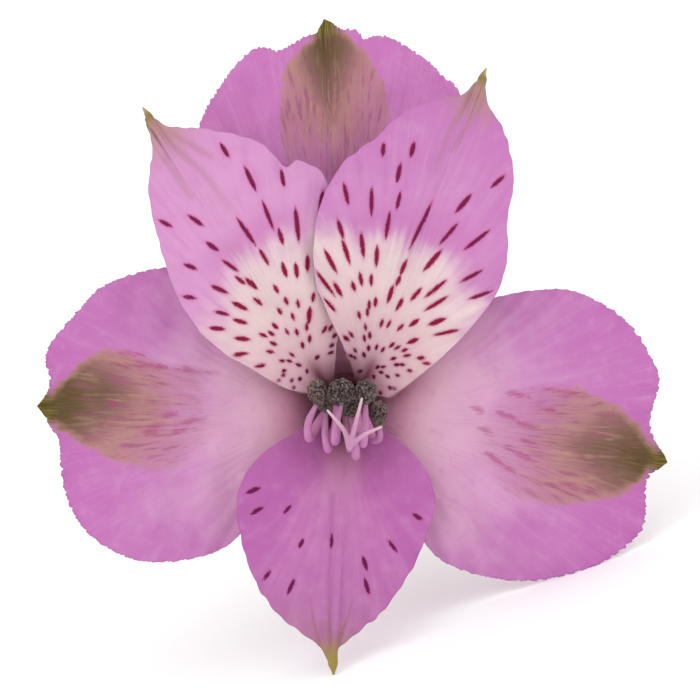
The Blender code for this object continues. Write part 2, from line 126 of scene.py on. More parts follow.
# The outlines are the solids' own. To them come the markings, as the front view shows them in
# millimetres: the olive patch of an outer tepal, the white blotch of an inner one with its flecks as
# (x, z, length), tan lines that run to the tip, and creases as (path, width, depth). The flecks point away
# from a focus: fleck_fan is its x, the z that distances are taken from, its z at no distance, and how far
# it climbs a millimetre of distance. An overlap moves the blade in or out of the flower between two
# angles, paler is the share of a pale pink laid over the blade, and pinch is how closely the olive of a
# patch keeps to the first crease.
TEPALS = {
    "outer_tepal_top": {
        "kind": "outer", "side_view": "outer_upper", "claw_angle": 90, "curl": 1.1, "keel": 0.5,
        "wave": (2.5, 0.35), "tip": (-2.3, 42), "paler": 0.2, "pinch": 2,
        "left": (
            (-3, 5.2), (-5.6, 9.6), (-10.4, 18), (-14.8, 25.2), (-16.1, 30), (-13.4, 35.2), (-10.5, 38.4),
            (-8.8, 38.9), (-7.2, 38.6), (-4.4, 40.1), (-3.1, 40.5), (-2.7, 41.2),
        ),
        "right": (
            (2.9, 5.2), (5.4, 8.9), (10.6, 17.6), (14.2, 26), (12.7, 33.7), (10.8, 35.7), (9.3, 37.3),
            (5.4, 39.8), (3.3, 40.2), (2.1, 39.8), (1.2, 40.8), (-0.4, 40.9), (-1.4, 41.6),
        ),
        "patch": (
            (-2.8, 41.5), (-4, 39.4), (-6.1, 37), (-6.9, 34.2), (-7.2, 30.7), (-6.4, 26), (-3.5, 20),
            (2, 20), (4.2, 26), (4.8, 31.5), (4.3, 34.2), (3.4, 36.6), (1.4, 39.2), (-0.8, 40.9),
        ),
        "creases": (
            (((-2.2, 41), (-2, 36), (-1.4, 30)), 0.5, 0.2),
            (((-5, 38.2), (-5.6, 33), (-5.4, 27)), 0.5, 0.1),
            (((1.2, 38.4), (2.4, 33), (2.6, 27)), 0.5, 0.1),
        ),
        "tan_lines": (
            ((-5.4, 35), (-6.1, 30), (-5.9, 25)),
            ((-3.6, 33), (-4.2, 29), (-4, 24)),
            ((-2.6, 31), (-2.9, 27), (-2.6, 23)),
            ((-1, 35), (-1.2, 30), (-1, 24)),
            ((0.2, 33), (0.7, 29), (0.7, 24)),
        ),
    },
    "outer_tepal_left": {
        "kind": "outer", "side_view": "outer_side", "claw_angle": 210, "curl": 1.3, "keel": 0.6,
        "wave": (2, 0.45), "tip": (-34, -0.7),
        "left": (
            (-4.6, -4.2), (-7, -8), (-10.7, -13.8), (-14.1, -16.7), (-19.5, -17.9), (-24.1, -17.4),
            (-28.4, -14.7), (-30.6, -11.2), (-31.4, -7.4), (-31.6, -4.5), (-32.6, -3), (-33.1, -1.8),
        ),
        "right": (
            (-5.4, 2.8), (-7.5, 6), (-11, 10.8), (-15.2, 13.8), (-19.6, 14.6), (-23.4, 13.9), (-27, 12.4),
            (-29.2, 10.2), (-32.4, 6.4), (-33.1, 4.3), (-32.6, 2.5), (-33, 0.6),
        ),
        "patch": (
            (-33.6, -0.9), (-32.7, 0.6), (-29.9, 3.4), (-27.2, 5.2), (-24, 5.4), (-20.6, 4), (-16, 3),
            (-12.5, 0), (-12.5, -3), (-15.1, -5), (-19.4, -7.5), (-22.5, -7.6), (-28.1, -5.4),
            (-32.6, -2.4),
        ),
        "creases": (
            (((-33.4, -0.6), (-28.5, 0.6), (-23, 0.8)), 0.6, 0.15),
            (((-31, -1.8), (-22, -2.4), (-13, -2.4)), 0.7, 0.12),
            (((-24.6, 3.8), (-19.5, 3.7), (-13.7, 2.8)), 0.5, 0.15),
        ),
        "tan_lines": (
            ((-31.6, -1.6), (-25.6, -2.5), (-19.5, -2.3), (-14.8, -2.5)),
            ((-28, -3.4), (-23.4, -6.4), (-19.8, -6.9)),
            ((-27.4, 4.6), (-22, 3.9), (-15.4, 3.3)),
            ((-29, 0.6), (-22, 0.4), (-16, -0.4)),
        ),
        "fleck_fan": (0, 0, 1.8, 0),
        "flecks": (
            (-21.9, 3.8, 4.6), (-16.6, 3.2, 5), (-16.9, -2.4, 3.2), (-21.3, -3.4, 1.8), (-23.6, 5.1, 2.6),
            (-18.2, -3.4, 1.4), (-25.8, -0.4, 1.2), (-19.4, -1.6, 1.6),
        ),
    },
    "outer_tepal_right": {
        "kind": "outer", "side_view": "outer_side", "claw_angle": -30, "curl": 1.3, "keel": 0.6,
        "wave": (2, -0.45), "tip": (35.6, -6.9),
        "left": (
            (5.6, 2.6), (7.7, 5.2), (11.7, 9.3), (16.6, 11.3), (22.1, 12.2), (26.2, 11.7), (31.1, 8.7),
            (34, 4.3), (34.7, 1.8), (33.7, -2.1), (34.2, -4.5), (35.2, -6),
        ),
        "right": (
            (4.7, -4.2), (6.1, -9.2), (8.8, -15.8), (12.7, -18.7), (19.9, -20), (27.4, -18.4),
            (32.1, -15.2), (33.2, -12.8), (33.2, -10.1), (33.7, -8.2), (34.9, -7.4),
        ),
        "patch": (
            (35.2, -6.8), (33.9, -5.2), (32.1, -2.5), (28.9, 0), (24.5, 1.4), (19.5, 1.2), (15.5, -0.6),
            (12.5, -4), (15.5, -8.2), (20.8, -11.2), (25.6, -11.5), (31, -10.2), (33.6, -7.9),
        ),
        "creases": (
            (((34.6, -6.6), (28, -5.4), (23, -4.6)), 0.6, 0.15),
            (((32, -3.2), (26, -1.6), (19, -0.8)), 0.6, 0.1),
        ),
        "tan_lines": (
            ((33, -4.6), (27, -3.4), (20, -2.8)),
            ((32.4, -7.8), (26, -8.8), (20, -9)),
            ((33.4, -6.2), (27, -6.2), (19, -5.4)),
        ),
        "fleck_fan": (0, 0, 4, 0),
        "flecks": (
            (19, 0.6, 2.4), (24.2, 0.9, 4.6), (17.8, -1.7, 2.2), (20, -2.7, 3), (20.4, -4.8, 2.2),
            (19.2, -6, 3.4), (16.5, -6.5, 2.2), (17.8, -7.4, 2.2), (24.6, -9.4, 2.2), (22.2, -1, 1.8),
            (15.6, -3.4, 1.6), (14.6, -1, 1.4),
        ),
    },
    "inner_tepal_left": {
        "kind": "upper", "side_view": "inner_upper", "claw_angle": 150, "curl": 0.6, "keel": 0.6,
        "wave": (1.5, 0.2), "overlap": (112, 99, 0.7), "paler": 0.4, "tip": (-22.2, 32.1),
        "left": (
            (-4.6, 0.8), (-6.6, 1.3), (-9.8, 3.1), (-14.8, 6.4), (-18.2, 11), (-20.3, 17.1), (-21.5, 22.8),
            (-21.1, 27.2), (-21.4, 29.3),
        ),
        "right": (
            (-1.4, 4.5), (-0.8, 7.2), (-0.4, 11), (-0.4, 17), (-2, 24), (-3.6, 25.7), (-5.3, 26.3),
            (-6.6, 25.6), (-9, 28), (-12, 29.1), (-16, 29.8), (-18.7, 29.9), (-20.5, 30.5),
        ),
        "blotch": (
            (0, 0), (-8, 1), (-14.6, 6.1), (-12.9, 8.6), (-13.4, 11.7), (-11.8, 14.5), (-7.9, 17.5),
            (-3.4, 17.2), (1, 16.5),
        ),
        "tan_lines": (
            ((-20.6, 29.8), (-19.2, 28.4), (-15.8, 25.1), (-12.2, 20.6)),
            ((-19.8, 26.5), (-16.9, 22.2)),
            ((-19.2, 29.4), (-14.7, 26.7)),
        ),
        "creases": (
            (((-21, 30.4), (-15.8, 25.1), (-12.2, 20.6)), 0.8, 0.2),
            (((-19.4, 26), (-16.6, 21.8)), 0.7, 0.12),
        ),
        "fleck_fan": (-4.4, 5, 3.1, 0.42),
        "flecks": (
            (-13.2, 27.4, 1.8), (-10.4, 24.3, 3), (-6.9, 24.4, 2), (-19.7, 19.4, 1.6), (-16.4, 19.7, 2.1),
            (-14.6, 16.9, 1.6), (-12.7, 14.8, 2.2), (-17, 14.7, 1.5), (-13.8, 12.2, 2), (-17.1, 11.3, 1.6),
            (-11.6, 13.2, 1.3), (-10.4, 12.8, 1.6), (-10.8, 18.5, 3.6), (-8.9, 15.8, 1.9),
            (-8.5, 20.3, 3.4), (-7.1, 18, 1.8), (-5.3, 19.3, 3.8), (-6.7, 14.4, 1.6), (-5.4, 14.3, 1.6),
            (-4.2, 15.1, 1.8), (-2.6, 21.8, 2.6), (-7.6, 12.3, 0.9), (-9.7, 10.9, 1.1), (-11.6, 10.4, 1.9),
            (-13.6, 9.6, 1.6), (-11.6, 8.7, 1.5), (-14.1, 7.9, 1.7), (-11.4, 6.8, 1.7), (-11.5, 5.1, 1.6),
            (-9.5, 3.8, 1.2), (-6.5, 11, 0.8), (-5.2, 10.7, 0.8), (-3.6, 11.4, 0.9), (-7.2, 9.9, 0.7),
            (-5.8, 9.3, 0.7), (-4, 9.4, 1.8), (-7.8, 8.2, 0.7), (-9.1, 7.2, 0.8), (-8.2, 7.4, 0.7),
            (-6.5, 7.6, 0.6), (-5.4, 7.6, 0.6), (-4.3, 8.2, 0.8), (-4, 6.9, 0.7), (-8, 6.3, 0.7),
            (-4.8, 6.2, 0.6), (-8.4, 5.4, 0.7), (-6, 5.1, 0.5), (-7.1, 4.4, 0.5), (-6.3, 4.4, 0.5),
            (-5.3, 4, 0.5), (-3.2, 4.9, 0.5), (-6.9, 3.3, 0.4), (-7, 2.8, 0.4), (-4.4, 3.3, 0.4),
            (-7.5, 2.2, 0.4), (-6.1, 2.2, 0.4), (-5.2, 2.4, 0.4), (-5.9, 1.4, 0.4), (-2.4, 7.9, 0.8),
            (-1.7, 8.1, 0.8), (-1.2, 7.3, 0.7), (-1.6, 6.2, 0.6), (-1.7, 5.4, 0.5),
        ),
    },
    "inner_tepal_right": {
        "kind": "upper", "side_view": "inner_upper", "claw_angle": 30, "curl": 0.6, "keel": 0.6,
        "wave": (1.5, -0.2), "overlap": (76, 90, -0.7), "tip": (15.5, 36.4),
        "left": (
            (0.5, 4.7), (-0.4, 6.6), (-1.8, 9.5), (-3.2, 13), (-3.4, 17.8), (-2.5, 22), (-0.5, 25.6),
            (1.4, 27.4), (3.2, 28.6), (5.6, 30.9), (7.7, 32.1), (11.5, 33.3), (13, 33.5), (14.5, 35),
        ),
        "right": (
            (4.9, 0.2), (8, 2.5), (12.2, 6.2), (16.5, 11.5), (17.8, 15.8), (17.8, 19.8), (18.5, 24.4),
            (17.5, 29.3), (15.8, 32.2), (15.4, 34.1),
        ),
        "blotch": (
            (0, 0), (-4.2, 14), (-4.2, 17.6), (-1, 18), (2.4, 17.2), (5.3, 17.7), (6.9, 16.3), (10.9, 16.1),
            (12.1, 14.1), (13.1, 11.7), (14.8, 8.8), (8, 1),
        ),
        "tan_lines": (
            ((14.4, 34.6), (13.3, 32.7), (11.4, 29.3), (9.9, 25.1)),
            ((15, 34), (14.8, 32.5), (11.9, 27.6)),
        ),
        "creases": (
            (((14.6, 34.8), (11.4, 29.3), (9.4, 23.6)), 0.9, 0.28),
            (((14.8, 32.5), (11.9, 27.6)), 0.7, 0.14),
        ),
        "fleck_fan": (2.97, 4.6, 3.1, 0.33),
        "flecks": (
            (4.2, 27.5, 1.5), (7.4, 27.5, 1.6), (5.9, 25, 2.2), (5.9, 21.9, 2), (2.9, 21.9, 3.2),
            (0.1, 22.7, 2.5), (4.7, 19.2, 3.1), (8.3, 19.3, 5.8), (13, 21.6, 2.7), (16.8, 24, 1.9),
            (11.4, 18.3, 3), (14.5, 17.6, 3.6), (9.7, 15.4, 3), (13.9, 13.7, 2.8), (14.9, 11.6, 2.7),
            (-0.5, 18.9, 2.2), (0.1, 16.4, 2.9), (1.9, 17.1, 2.8), (3.5, 15.9, 2.3), (-1.6, 15.3, 2.9),
            (-2.2, 12.9, 3.6), (6.4, 14.7, 1.7), (5.8, 13.2, 1.1), (5, 11.8, 1.9), (1.7, 13.4, 1.4),
            (2.9, 13.3, 1.2), (0.9, 12.6, 1), (-0.8, 12.3, 1.8), (7.9, 11.7, 1.7), (10, 12.3, 2.9),
            (10.1, 10.7, 2.9), (-1.7, 10.6, 1.9), (2.7, 10.6, 0.9), (3.4, 10.9, 0.9), (6.1, 10.6, 1.4),
            (2.5, 9.8, 0.7), (1.5, 9.5, 0.7), (10.2, 8.7, 2), (7.7, 8.6, 1.2), (4.1, 8.6, 0.8),
            (4.9, 8.5, 0.8), (6.2, 8.1, 0.8), (2.3, 8.2, 0.6), (11.2, 7.5, 2.8), (0.6, 7.4, 0.7),
            (0.1, 7, 0.7), (2.8, 7.3, 0.6), (2.2, 7, 0.6), (7.6, 6.6, 1.2), (5.3, 6.2, 0.6),
            (2.7, 5.9, 0.5), (3.6, 6, 0.5), (4.3, 5.7, 0.5), (5.9, 5.9, 0.6), (6.7, 5.6, 0.6),
            (1.1, 5.7, 0.5), (2.2, 5.2, 0.5), (0.6, 5.1, 0.5), (1.1, 4.9, 0.4), (5.5, 4.7, 0.5),
            (7, 5, 0.7), (8.5, 4.7, 0.8), (9.1, 4.1, 0.8), (5.9, 4, 0.5), (6.5, 4, 0.5), (3.8, 3.8, 0.4),
            (4.4, 3.8, 0.4), (1.8, 3.4, 0.4), (4.2, 3.2, 0.4), (7.3, 3.3, 0.5), (6, 2.8, 0.4),
            (4.9, 2.7, 0.4), (3.4, 2.7, 0.4), (5.2, 1.4, 0.4), (5.7, 1.3, 0.4), (4.2, 0.8, 0.4),
        ),
    },
    "inner_tepal_lower": {
        "kind": "lower", "side_view": "inner_lower", "claw_angle": 270, "curl": 1, "keel": -0.6,
        "wave": (1.5, 0.2), "tip": (-1.3, -30.2),
        "left": (
            (4, -3.1), (6.8, -5.2), (9, -7.9), (9.9, -11.2), (9.2, -14), (7.5, -18.3), (4.5, -22.8),
            (3.4, -23.9), (0.6, -26.2), (-0.6, -27.2), (-1, -28.1),
        ),
        "right": (
            (-4.4, -3.1), (-8.2, -5.2), (-10.8, -7.9), (-11.9, -11.2), (-11.5, -14.9), (-10.1, -19.4),
            (-7.5, -23.4), (-3.5, -26.5), (-2.4, -27.6),
        ),
        "tan_lines": (
            ((-3.9, -21.9), (-2.8, -26.8), (-1.6, -28.8)),
            ((0.8, -21.9), (-0.6, -26.5), (-1.2, -28.8)),
            ((-1.6, -22), (-1.6, -28.6)),
        ),
        "creases": (
            (((-1.4, -10.5), (-1.6, -20), (-1.6, -28)), 0.4, 0.14),
            (((-2.3, -7.5), (-2.8, -10.7), (-3.2, -14.5)), 0.45, 0.12),
            (((0.9, -9), (1.2, -14), (0.8, -18)), 0.45, 0.08),
            (((-0.2, -7.5), (-0.2, -15)), 0.35, -0.12),
        ),
        "fleck_fan": (-0.9, 0, 0, -0.45),
        "flecks": (
            (-10.1, -10, 1.7), (-9.7, -12.2, 1.6), (-6.3, -12.1, 1.1), (-4.8, -15.8, 1.1),
            (-1.4, -15.6, 1.6), (8, -12.9, 1.3), (5.2, -16.1, 1.7), (2.2, -18, 1.7), (2.4, -20.5, 1.9),
            (-8.6, -19.3, 1.4), (-5.9, -20.5, 1.9),
        ),
    },
}

# One entry a stamen: where its filament starts round the ring, its lowest bend, where it turns up, and
# the middle of its anther, as (x, depth, z), with the anther's half width, half depth and half height.
STAMENS = (
    {"ring_angle": 180, "bend": (-4, -3.6, -4.1), "rise": (-4, -6, -2.4),
     "anther": (-3.1, -7.4, 0.9), "size": (0.95, 0.85, 1.3)},
    {"ring_angle": 240, "bend": (-1.9, -2.6, -5.3), "rise": (-2.2, -4.6, -3.6),
     "anther": (-2.1, -4.9, -0.3), "size": (0.8, 0.75, 0.95)},
    {"ring_angle": 120, "bend": (-1.1, -5, -4.4), "rise": (-1, -7, -2.9),
     "anther": (-0.4, -7.9, 0.9), "size": (1.35, 1.05, 1.4)},
    {"ring_angle": 300, "bend": (1.2, -3.2, -6.1), "rise": (1.1, -5.2, -4.2),
     "anther": (0.6, -5.2, -0.7), "size": (1.05, 0.9, 1.1)},
    {"ring_angle": 60, "bend": (2, -4.6, -4.7), "rise": (2.2, -6.6, -3),
     "anther": (2.3, -7.6, 0.8), "size": (1.15, 0.95, 1.25)},
    {"ring_angle": 0, "bend": (3.2, -2.4, -4.4), "rise": (3.8, -4.4, -4.1),
     "anther": (3.8, -5.4, -1.4), "size": (0.8, 0.75, 1.3)},
)
STYLE_PATH = (
    (0, OVARY_TOP + JOIN, 0), (0, 18, -0.1), (0, 8, -1.7),
    (0.3, 0, -4), (0.5, -5.6, -5.3), (0.5, -8.4, -5.2),
)

# The middle and the tip of each of the three lobes that the style parts into.
STIGMA_LOBES = (
    ((-0.1, -9.4, -3.3), (-1.9, -10.2, -1.1)),
    ((1.05, -9.6, -3), (1.85, -10.6, 0.2)),
    ((2, -9.4, -3.8), (4, -9.8, -2.9)),
)

# A fleck is a lens. Its half width grows with its length up to a greatest one, and its two points add a
# little to the length that is listed.
FLECK_WIDEST = 0.24
FLECK_SLIMMEST = 0.14
FLECK_WIDENING = 0.055
FLECK_POINTS = 0.2

# A marking that a tepal doesn't have is this far away from every point of it.
FAR = 60.0

# The pollen on an anther: how many grains, their radius, how much of it stands out, and how many shades
# they come in. An anther is uneven by this share, and its groove between the lobes has a width and a depth.
POLLEN_GRAINS = 620
POLLEN_RADIUS = (0.06, 0.13)
POLLEN_STANDS_OUT = 0.85
POLLEN_SHADES = 97
ANTHER_UNEVEN = 0.14
GROOVE_WIDTH = 0.24
GROOVE_DEPTH = 0.3

# How many sides the round pieces have, points their paths, and rings the cut end of the pedicel. The
# style's parts are joined in cells of this size.
FILAMENT_SIDES = 20
STYLE_SIDES = 18
PEDICEL_SIDES = 36
OVARY_SIDES = 108
FILAMENT_POINTS = 90
STYLE_POINTS = 60
LOBE_POINTS = 30
OVARY_RINGS = 60
PEDICEL_POINTS = 120
CUT_RINGS = 4
STYLE_CELL = 0.07


def smoothstep(start, end, value):
    share = np.clip((value - start) / (end - start), 0, 1)
    return share * share * (3 - 2 * share)


def unit(vector):
    return vector / np.linalg.norm(vector)


def three(*parts):
    """Three numbers a point, from arrays and single numbers."""
    return np.stack(np.broadcast_arrays(*parts), axis=-1)


def smooth_path(points, count, crowding=1.0):
    """Points on a Catmull-Rom curve through those given, evenly spaced or crowded towards its end."""
    knots = np.array(points, float)
    knots = np.vstack((2 * knots[0] - knots[1], knots, 2 * knots[-1] - knots[-2]))
    fine = []
    for before, start, end, after in zip(knots, knots[1:], knots[2:], knots[3:]):
        for u in np.linspace(0, 1, CURVE_STEPS, endpoint=False):
            fine.append(
                0.5 * (2 * start + (end - before) * u + (2 * before - 5 * start + 4 * end - after) * u**2
                       + (3 * start - before - 3 * end + after) * u**3)
            )
    fine = np.array(fine + [knots[-2]])
    along = np.concatenate(([0], np.cumsum(np.linalg.norm(np.diff(fine, axis=0), axis=1))))
    wanted = along[-1] * (1 - (1 - np.linspace(0, 1, count)) ** crowding)
    return np.stack([np.interp(wanted, along, fine[:, axis]) for axis in range(fine.shape[1])], axis=1)


def ripples(seed, size, *coordinates):
    """A smooth seeded unevenness between about -1 and 1, with waves about this size along each coordinate."""
    random = np.random.default_rng(seed)
    total = 0
    waves = 9
    for _ in range(waves):
        direction = unit(random.normal(size=len(coordinates))) * random.uniform(0.6, 1.7)
        phase = random.uniform(0, 2 * math.pi)
        run = sum(part * values for part, values in zip(direction, coordinates))
        total = total + np.sin(2 * math.pi * run / size + phase)
    return total / math.sqrt(waves)


def path_distance(flat, path):
    """How far each (x, z) place lies from a path of straight pieces."""
    nearest = np.full(flat.shape[:-1], FAR)
    corners = np.array(path, float)
    for start, end in zip(corners, corners[1:]):
        step = end - start
        share = np.clip(((flat - start) @ step) / (step @ step), 0, 1)
        nearest = np.minimum(nearest, np.linalg.norm(flat - start - share[..., None] * step, axis=-1))
    return nearest


def area_distance(flat, outline):
    """How far each (x, z) place lies outside an outline, or below 0 how far inside."""
    corners = smooth_path(outline + outline[:1], 80)
    x, z = flat[..., 0], flat[..., 1]
    inside = np.zeros(x.shape, bool)
    for (x0, z0), (x1, z1) in zip(corners, corners[1:]):
        if z0 == z1:
            continue
        crosses = (z0 > z) != (z1 > z)
        inside ^= crosses & (x < (x1 - x0) * (z - z0) / (z1 - z0) + x0)
    return np.where(inside, -1, 1) * path_distance(flat, corners)


def bloom_matrix():
    """From the bloom's own frame, in millimetres, to the surface that it lies on, in metres."""
    lean = Euler((math.radians(-LEAN), 0, 0)).to_matrix()
    roll = Euler((0, math.radians(ROLL), 0)).to_matrix()
    turn = (lean @ roll).to_4x4()
    return Matrix.Translation(Vector(THROAT_AT) * MM) @ turn @ Matrix.Scale(MM, 4)


def moved(points, matrix):
    place = np.array(matrix)
    return points @ place[:3, :3].T + place[:3, 3]


def add_field(mesh, name, values):
    made = mesh.attributes.new(name, "FLOAT_VECTOR", "POINT")
    made.data.foreach_set("vector", values.astype(np.float32).reshape(-1))


def new_object(name, data):
    obj = bpy.data.objects.new(name, data)
    bpy.context.scene.collection.objects.link(obj)
    return obj


def add_piece(name, points, faces, fields, look):
    """An object of these points and faces, with its named fields of three numbers a point."""
    mesh = bpy.data.meshes.new(name)
    mesh.from_pydata(moved(points, bloom_matrix()).tolist(), [], faces)
    for field, values in fields.items():
        add_field(mesh, field, values)
    mesh.materials.append(look)
    mesh.shade_smooth()
    return new_object(name, mesh)


def stand_for(obj, slot_name, *nodes):
    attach(obj, "root")
    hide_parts(*nodes)


def margin_points(tepal, columns):
    """The outline from the end of the left side, round the tip, to the end of the right side."""
    a_side = columns // 2 + 1
    left = smooth_path(tepal["left"] + (tepal["tip"],), a_side, TIP_CROWDING)
    right = smooth_path(tepal["right"] + (tepal["tip"],), a_side, TIP_CROWDING)
    return np.vstack((left, right[-2::-1]))


def tepal_surface(name, tepal):
    """The middle surface of a tepal, and what is measured over it, in rows from the ovary to the margin."""
    kind = KINDS[tepal["kind"]]
    margin = margin_points(tepal, kind["columns"])
    claw = math.radians(tepal["claw_angle"])
    reach = np.hypot(margin[:, 0], margin[:, 1])
    turn = np.arctan2(margin[:, 1], margin[:, 0]) - claw
    turn = (turn + math.pi) % (2 * math.pi) - math.pi
    across = np.linspace(-1, 1, len(margin)) * np.sign(turn[-1] - turn[0])
    side_view = smooth_path(SIDE_VIEWS[tepal["side_view"]], SIDE_VIEW_POINTS)
    places = np.arange(len(side_view))
    spacing = np.linalg.norm(np.diff(side_view, axis=0), axis=1).mean()
    ring = side_view[0, 0]
    ends = np.interp(reach, side_view[:, 0], places)
    tip = len(margin) // 2

    def midrib_turn(radius):
        return turn[tip] * (1 / ring - 1 / radius) / (1 / ring - 1 / reach[tip])

    claw_spread = across * kind["claw_width"] / 2 / ring
    spread = turn - midrib_turn(reach)
    claw_rows = np.linspace(0, CLAW_SHARE, kind["claw_rows"], endpoint=False)
    share = np.concatenate((claw_rows, np.linspace(CLAW_SHARE, 1, kind["limb_rows"] + 1)))[:, None]
    radius = np.interp(ends * share, places, side_view[:, 0])
    depth = np.interp(ends * share, places, side_view[:, 1])
    fan = (radius - ring) / (reach - ring)
    angle = claw + midrib_turn(radius) + claw_spread + (spread - claw_spread) * fan
    flat = np.stack((radius * np.cos(angle), radius * np.sin(angle)), axis=-1)
    on_limb = smoothstep(*LIMB_START, radius)
    on_margin = smoothstep(*MARGIN_START, share) * on_limb
    waves, wave_height = tepal["wave"]
    depth = depth + tepal["curl"] * on_margin
    depth = depth + wave_height * on_margin * np.sin(2 * math.pi * waves * across)
    depth = depth + tepal["keel"] * on_limb * np.exp(-((across / KEEL_WIDTH) ** 2))
    if "overlap" in tepal:
        start, full, shift = tepal["overlap"]
        depth = depth + shift * smoothstep(start, full, np.degrees(angle) % 360)

    across = np.broadcast_to(across, radius.shape)
    half_width = np.linalg.norm(np.diff(margin, axis=0), axis=1).sum() / 2
    surface = {
        "seed": sum(map(ord, name)),
        "flat": flat,
        "across": across,
        "grain": half_width * across,
        "along": ends * share * spacing,
        "radius": radius,
        "edge": path_distance(flat, margin[:: kind["columns"] // EDGE_PIECES]),
        "tip": np.linalg.norm(flat - np.array(tepal["tip"]), axis=-1),
        "on_limb": on_limb,
    }
    depth = depth + relief(surface, tepal)
    surface["flat"] = toothed(surface, tepal)
    surface["points"] = three(surface["flat"][..., 0], depth, surface["flat"][..., 1])
    return surface


def relief(surface, tepal):
    """How far veins, hollows, the frilled margin and the creases push each place into the flower."""
    flat, grain, edge = surface["flat"], surface["grain"], surface["edge"]
    seed, on_limb = surface["seed"], surface["on_limb"]
    off_tip = on_limb * smoothstep(0.5, 4, surface["tip"])
    veins = grain / VEIN_SPACING + 0.5 * ripples(seed, 9.0, grain / 2, surface["along"])
    depth = VEIN_HEIGHT * on_limb * smoothstep(0, 3, edge) * np.cos(2 * math.pi * veins)
    depth = depth + HOLLOW_HEIGHT * off_tip * ripples(seed + 1, HOLLOW_SIZE, flat[..., 0], flat[..., 1])
    depth = depth + FRILL_HEIGHT * off_tip * np.exp(-edge / 1.6) * ripples(seed + 2, FRILL_SIZE, grain)
    for path, width, deep in tepal["creases"]:
        depth = depth + deep * np.exp(-((path_distance(flat, path) / width) ** 2))
    return depth


def toothed(surface, tepal):
    """The flat places, drawn in a little along the margin, in small teeth on an outer tepal."""
    across, seed = surface["across"], surface["seed"]
    columns = across.shape[1]
    if tepal["kind"] == "outer":
        random = np.random.default_rng(seed + 3)
        inward = TOOTH * (np.arange(columns) % 2) * random.uniform(0.25, 1, columns)
        inward = inward + TOOTH_WAVE * ripples(seed + 4, TOOTH_PITCH, surface["grain"])
    else:
        inward = NIBBLE * ripples(seed + 4, NIBBLE_PITCH, surface["grain"])
    off_middle = (np.abs(across) > TEETH_SPAN[0]) & (np.abs(across) < TEETH_SPAN[1])
    pull = off_middle * inward * np.exp(-surface["edge"] / 0.5) / surface["radius"]
    return surface["flat"] * (1 - pull[..., None])


def surface_normals(points):
    """Unit normals over a grid of points, on the side that faces along -Y."""
    normals = np.cross(np.gradient(points, axis=0), np.gradient(points, axis=1))
    normals /= np.maximum(np.linalg.norm(normals, axis=-1, keepdims=True), 1e-12)
    facing = np.sign(-normals[len(points) * 2 // 3 :, :, 1].mean())
    return normals * facing, facing


def blade_thickness(surface):
    """Thin at the margin and thicker to the midrib, the claw and the tip, whose end is sharp."""
    rib = np.exp(-((surface["across"] / (KEEL_WIDTH / 2)) ** 2))
    blade = MARGIN_THICKNESS + (LIMB_THICKNESS - MARGIN_THICKNESS) * smoothstep(0, 2.5, surface["edge"])
    ribbed = blade + (RIB_THICKNESS - LIMB_THICKNESS) * rib
    limb = RIB_THICKNESS + (ribbed - RIB_THICKNESS) * surface["on_limb"]
    pointed = 1 - smoothstep(0.4, TIP_LENGTH, surface["tip"])
    sharp = 0.3 + 0.7 * smoothstep(0, 1.6, surface["tip"])
    return (limb + (TIP_THICKNESS - limb) * pointed) * sharp


def fleck_distance(surface, tepal):
    """How far each place lies outside the nearest fleck, a lens that points away from the fan's focus."""
    flat = surface["flat"]
    fan_x, low_z, fan_z, climb = tepal["fleck_fan"]
    nearest = np.full(flat.shape[:2], FAR)
    random = np.random.default_rng(surface["seed"] + 5)
    for x, z, listed_length in tepal["flecks"]:
        length = listed_length + FLECK_POINTS
        focus_z = fan_z + climb * math.hypot(x - fan_x, z - low_z)
        ahead = unit(np.array((x - fan_x, z - focus_z)))
        off = flat - (x, z)
        lengthways = np.abs(off @ ahead)
        sideways = np.abs(off @ (-ahead[1], ahead[0]))
        half_width = min(FLECK_WIDEST, FLECK_SLIMMEST + FLECK_WIDENING * length) * random.uniform(0.85, 1.1)
        share = np.clip(lengthways / (length / 2), 0, 1)
        beyond = np.maximum(lengthways - length / 2, 0)
        nearest = np.minimum(nearest, np.hypot(sideways, beyond) - half_width * (1 - share**2.6))
    return nearest


def tepal_fields(surface, tepal):
    """What the materials read: grain, place, zone and line, each of three numbers a point."""
    flat = surface["flat"]
    blotch = area_distance(flat, tepal["blotch"]) if "blotch" in tepal else FAR
    patch = area_distance(flat, tepal["patch"]) if "patch" in tepal else FAR
    fleck = fleck_distance(surface, tepal) if "flecks" in tepal else FAR
    tan_line = np.min([path_distance(flat, smooth_path(path, 12)) for path in tepal["tan_lines"]], axis=0)
    crease = path_distance(flat, tepal["creases"][0][0])
    return {
        "grain": three(surface["grain"], surface["along"], surface["seed"]),
        "place": three(surface["radius"], surface["edge"], surface["tip"]),
        "zone": three(blotch, patch, fleck),
        "line": three(tan_line, crease, np.abs(surface["across"])),
    }


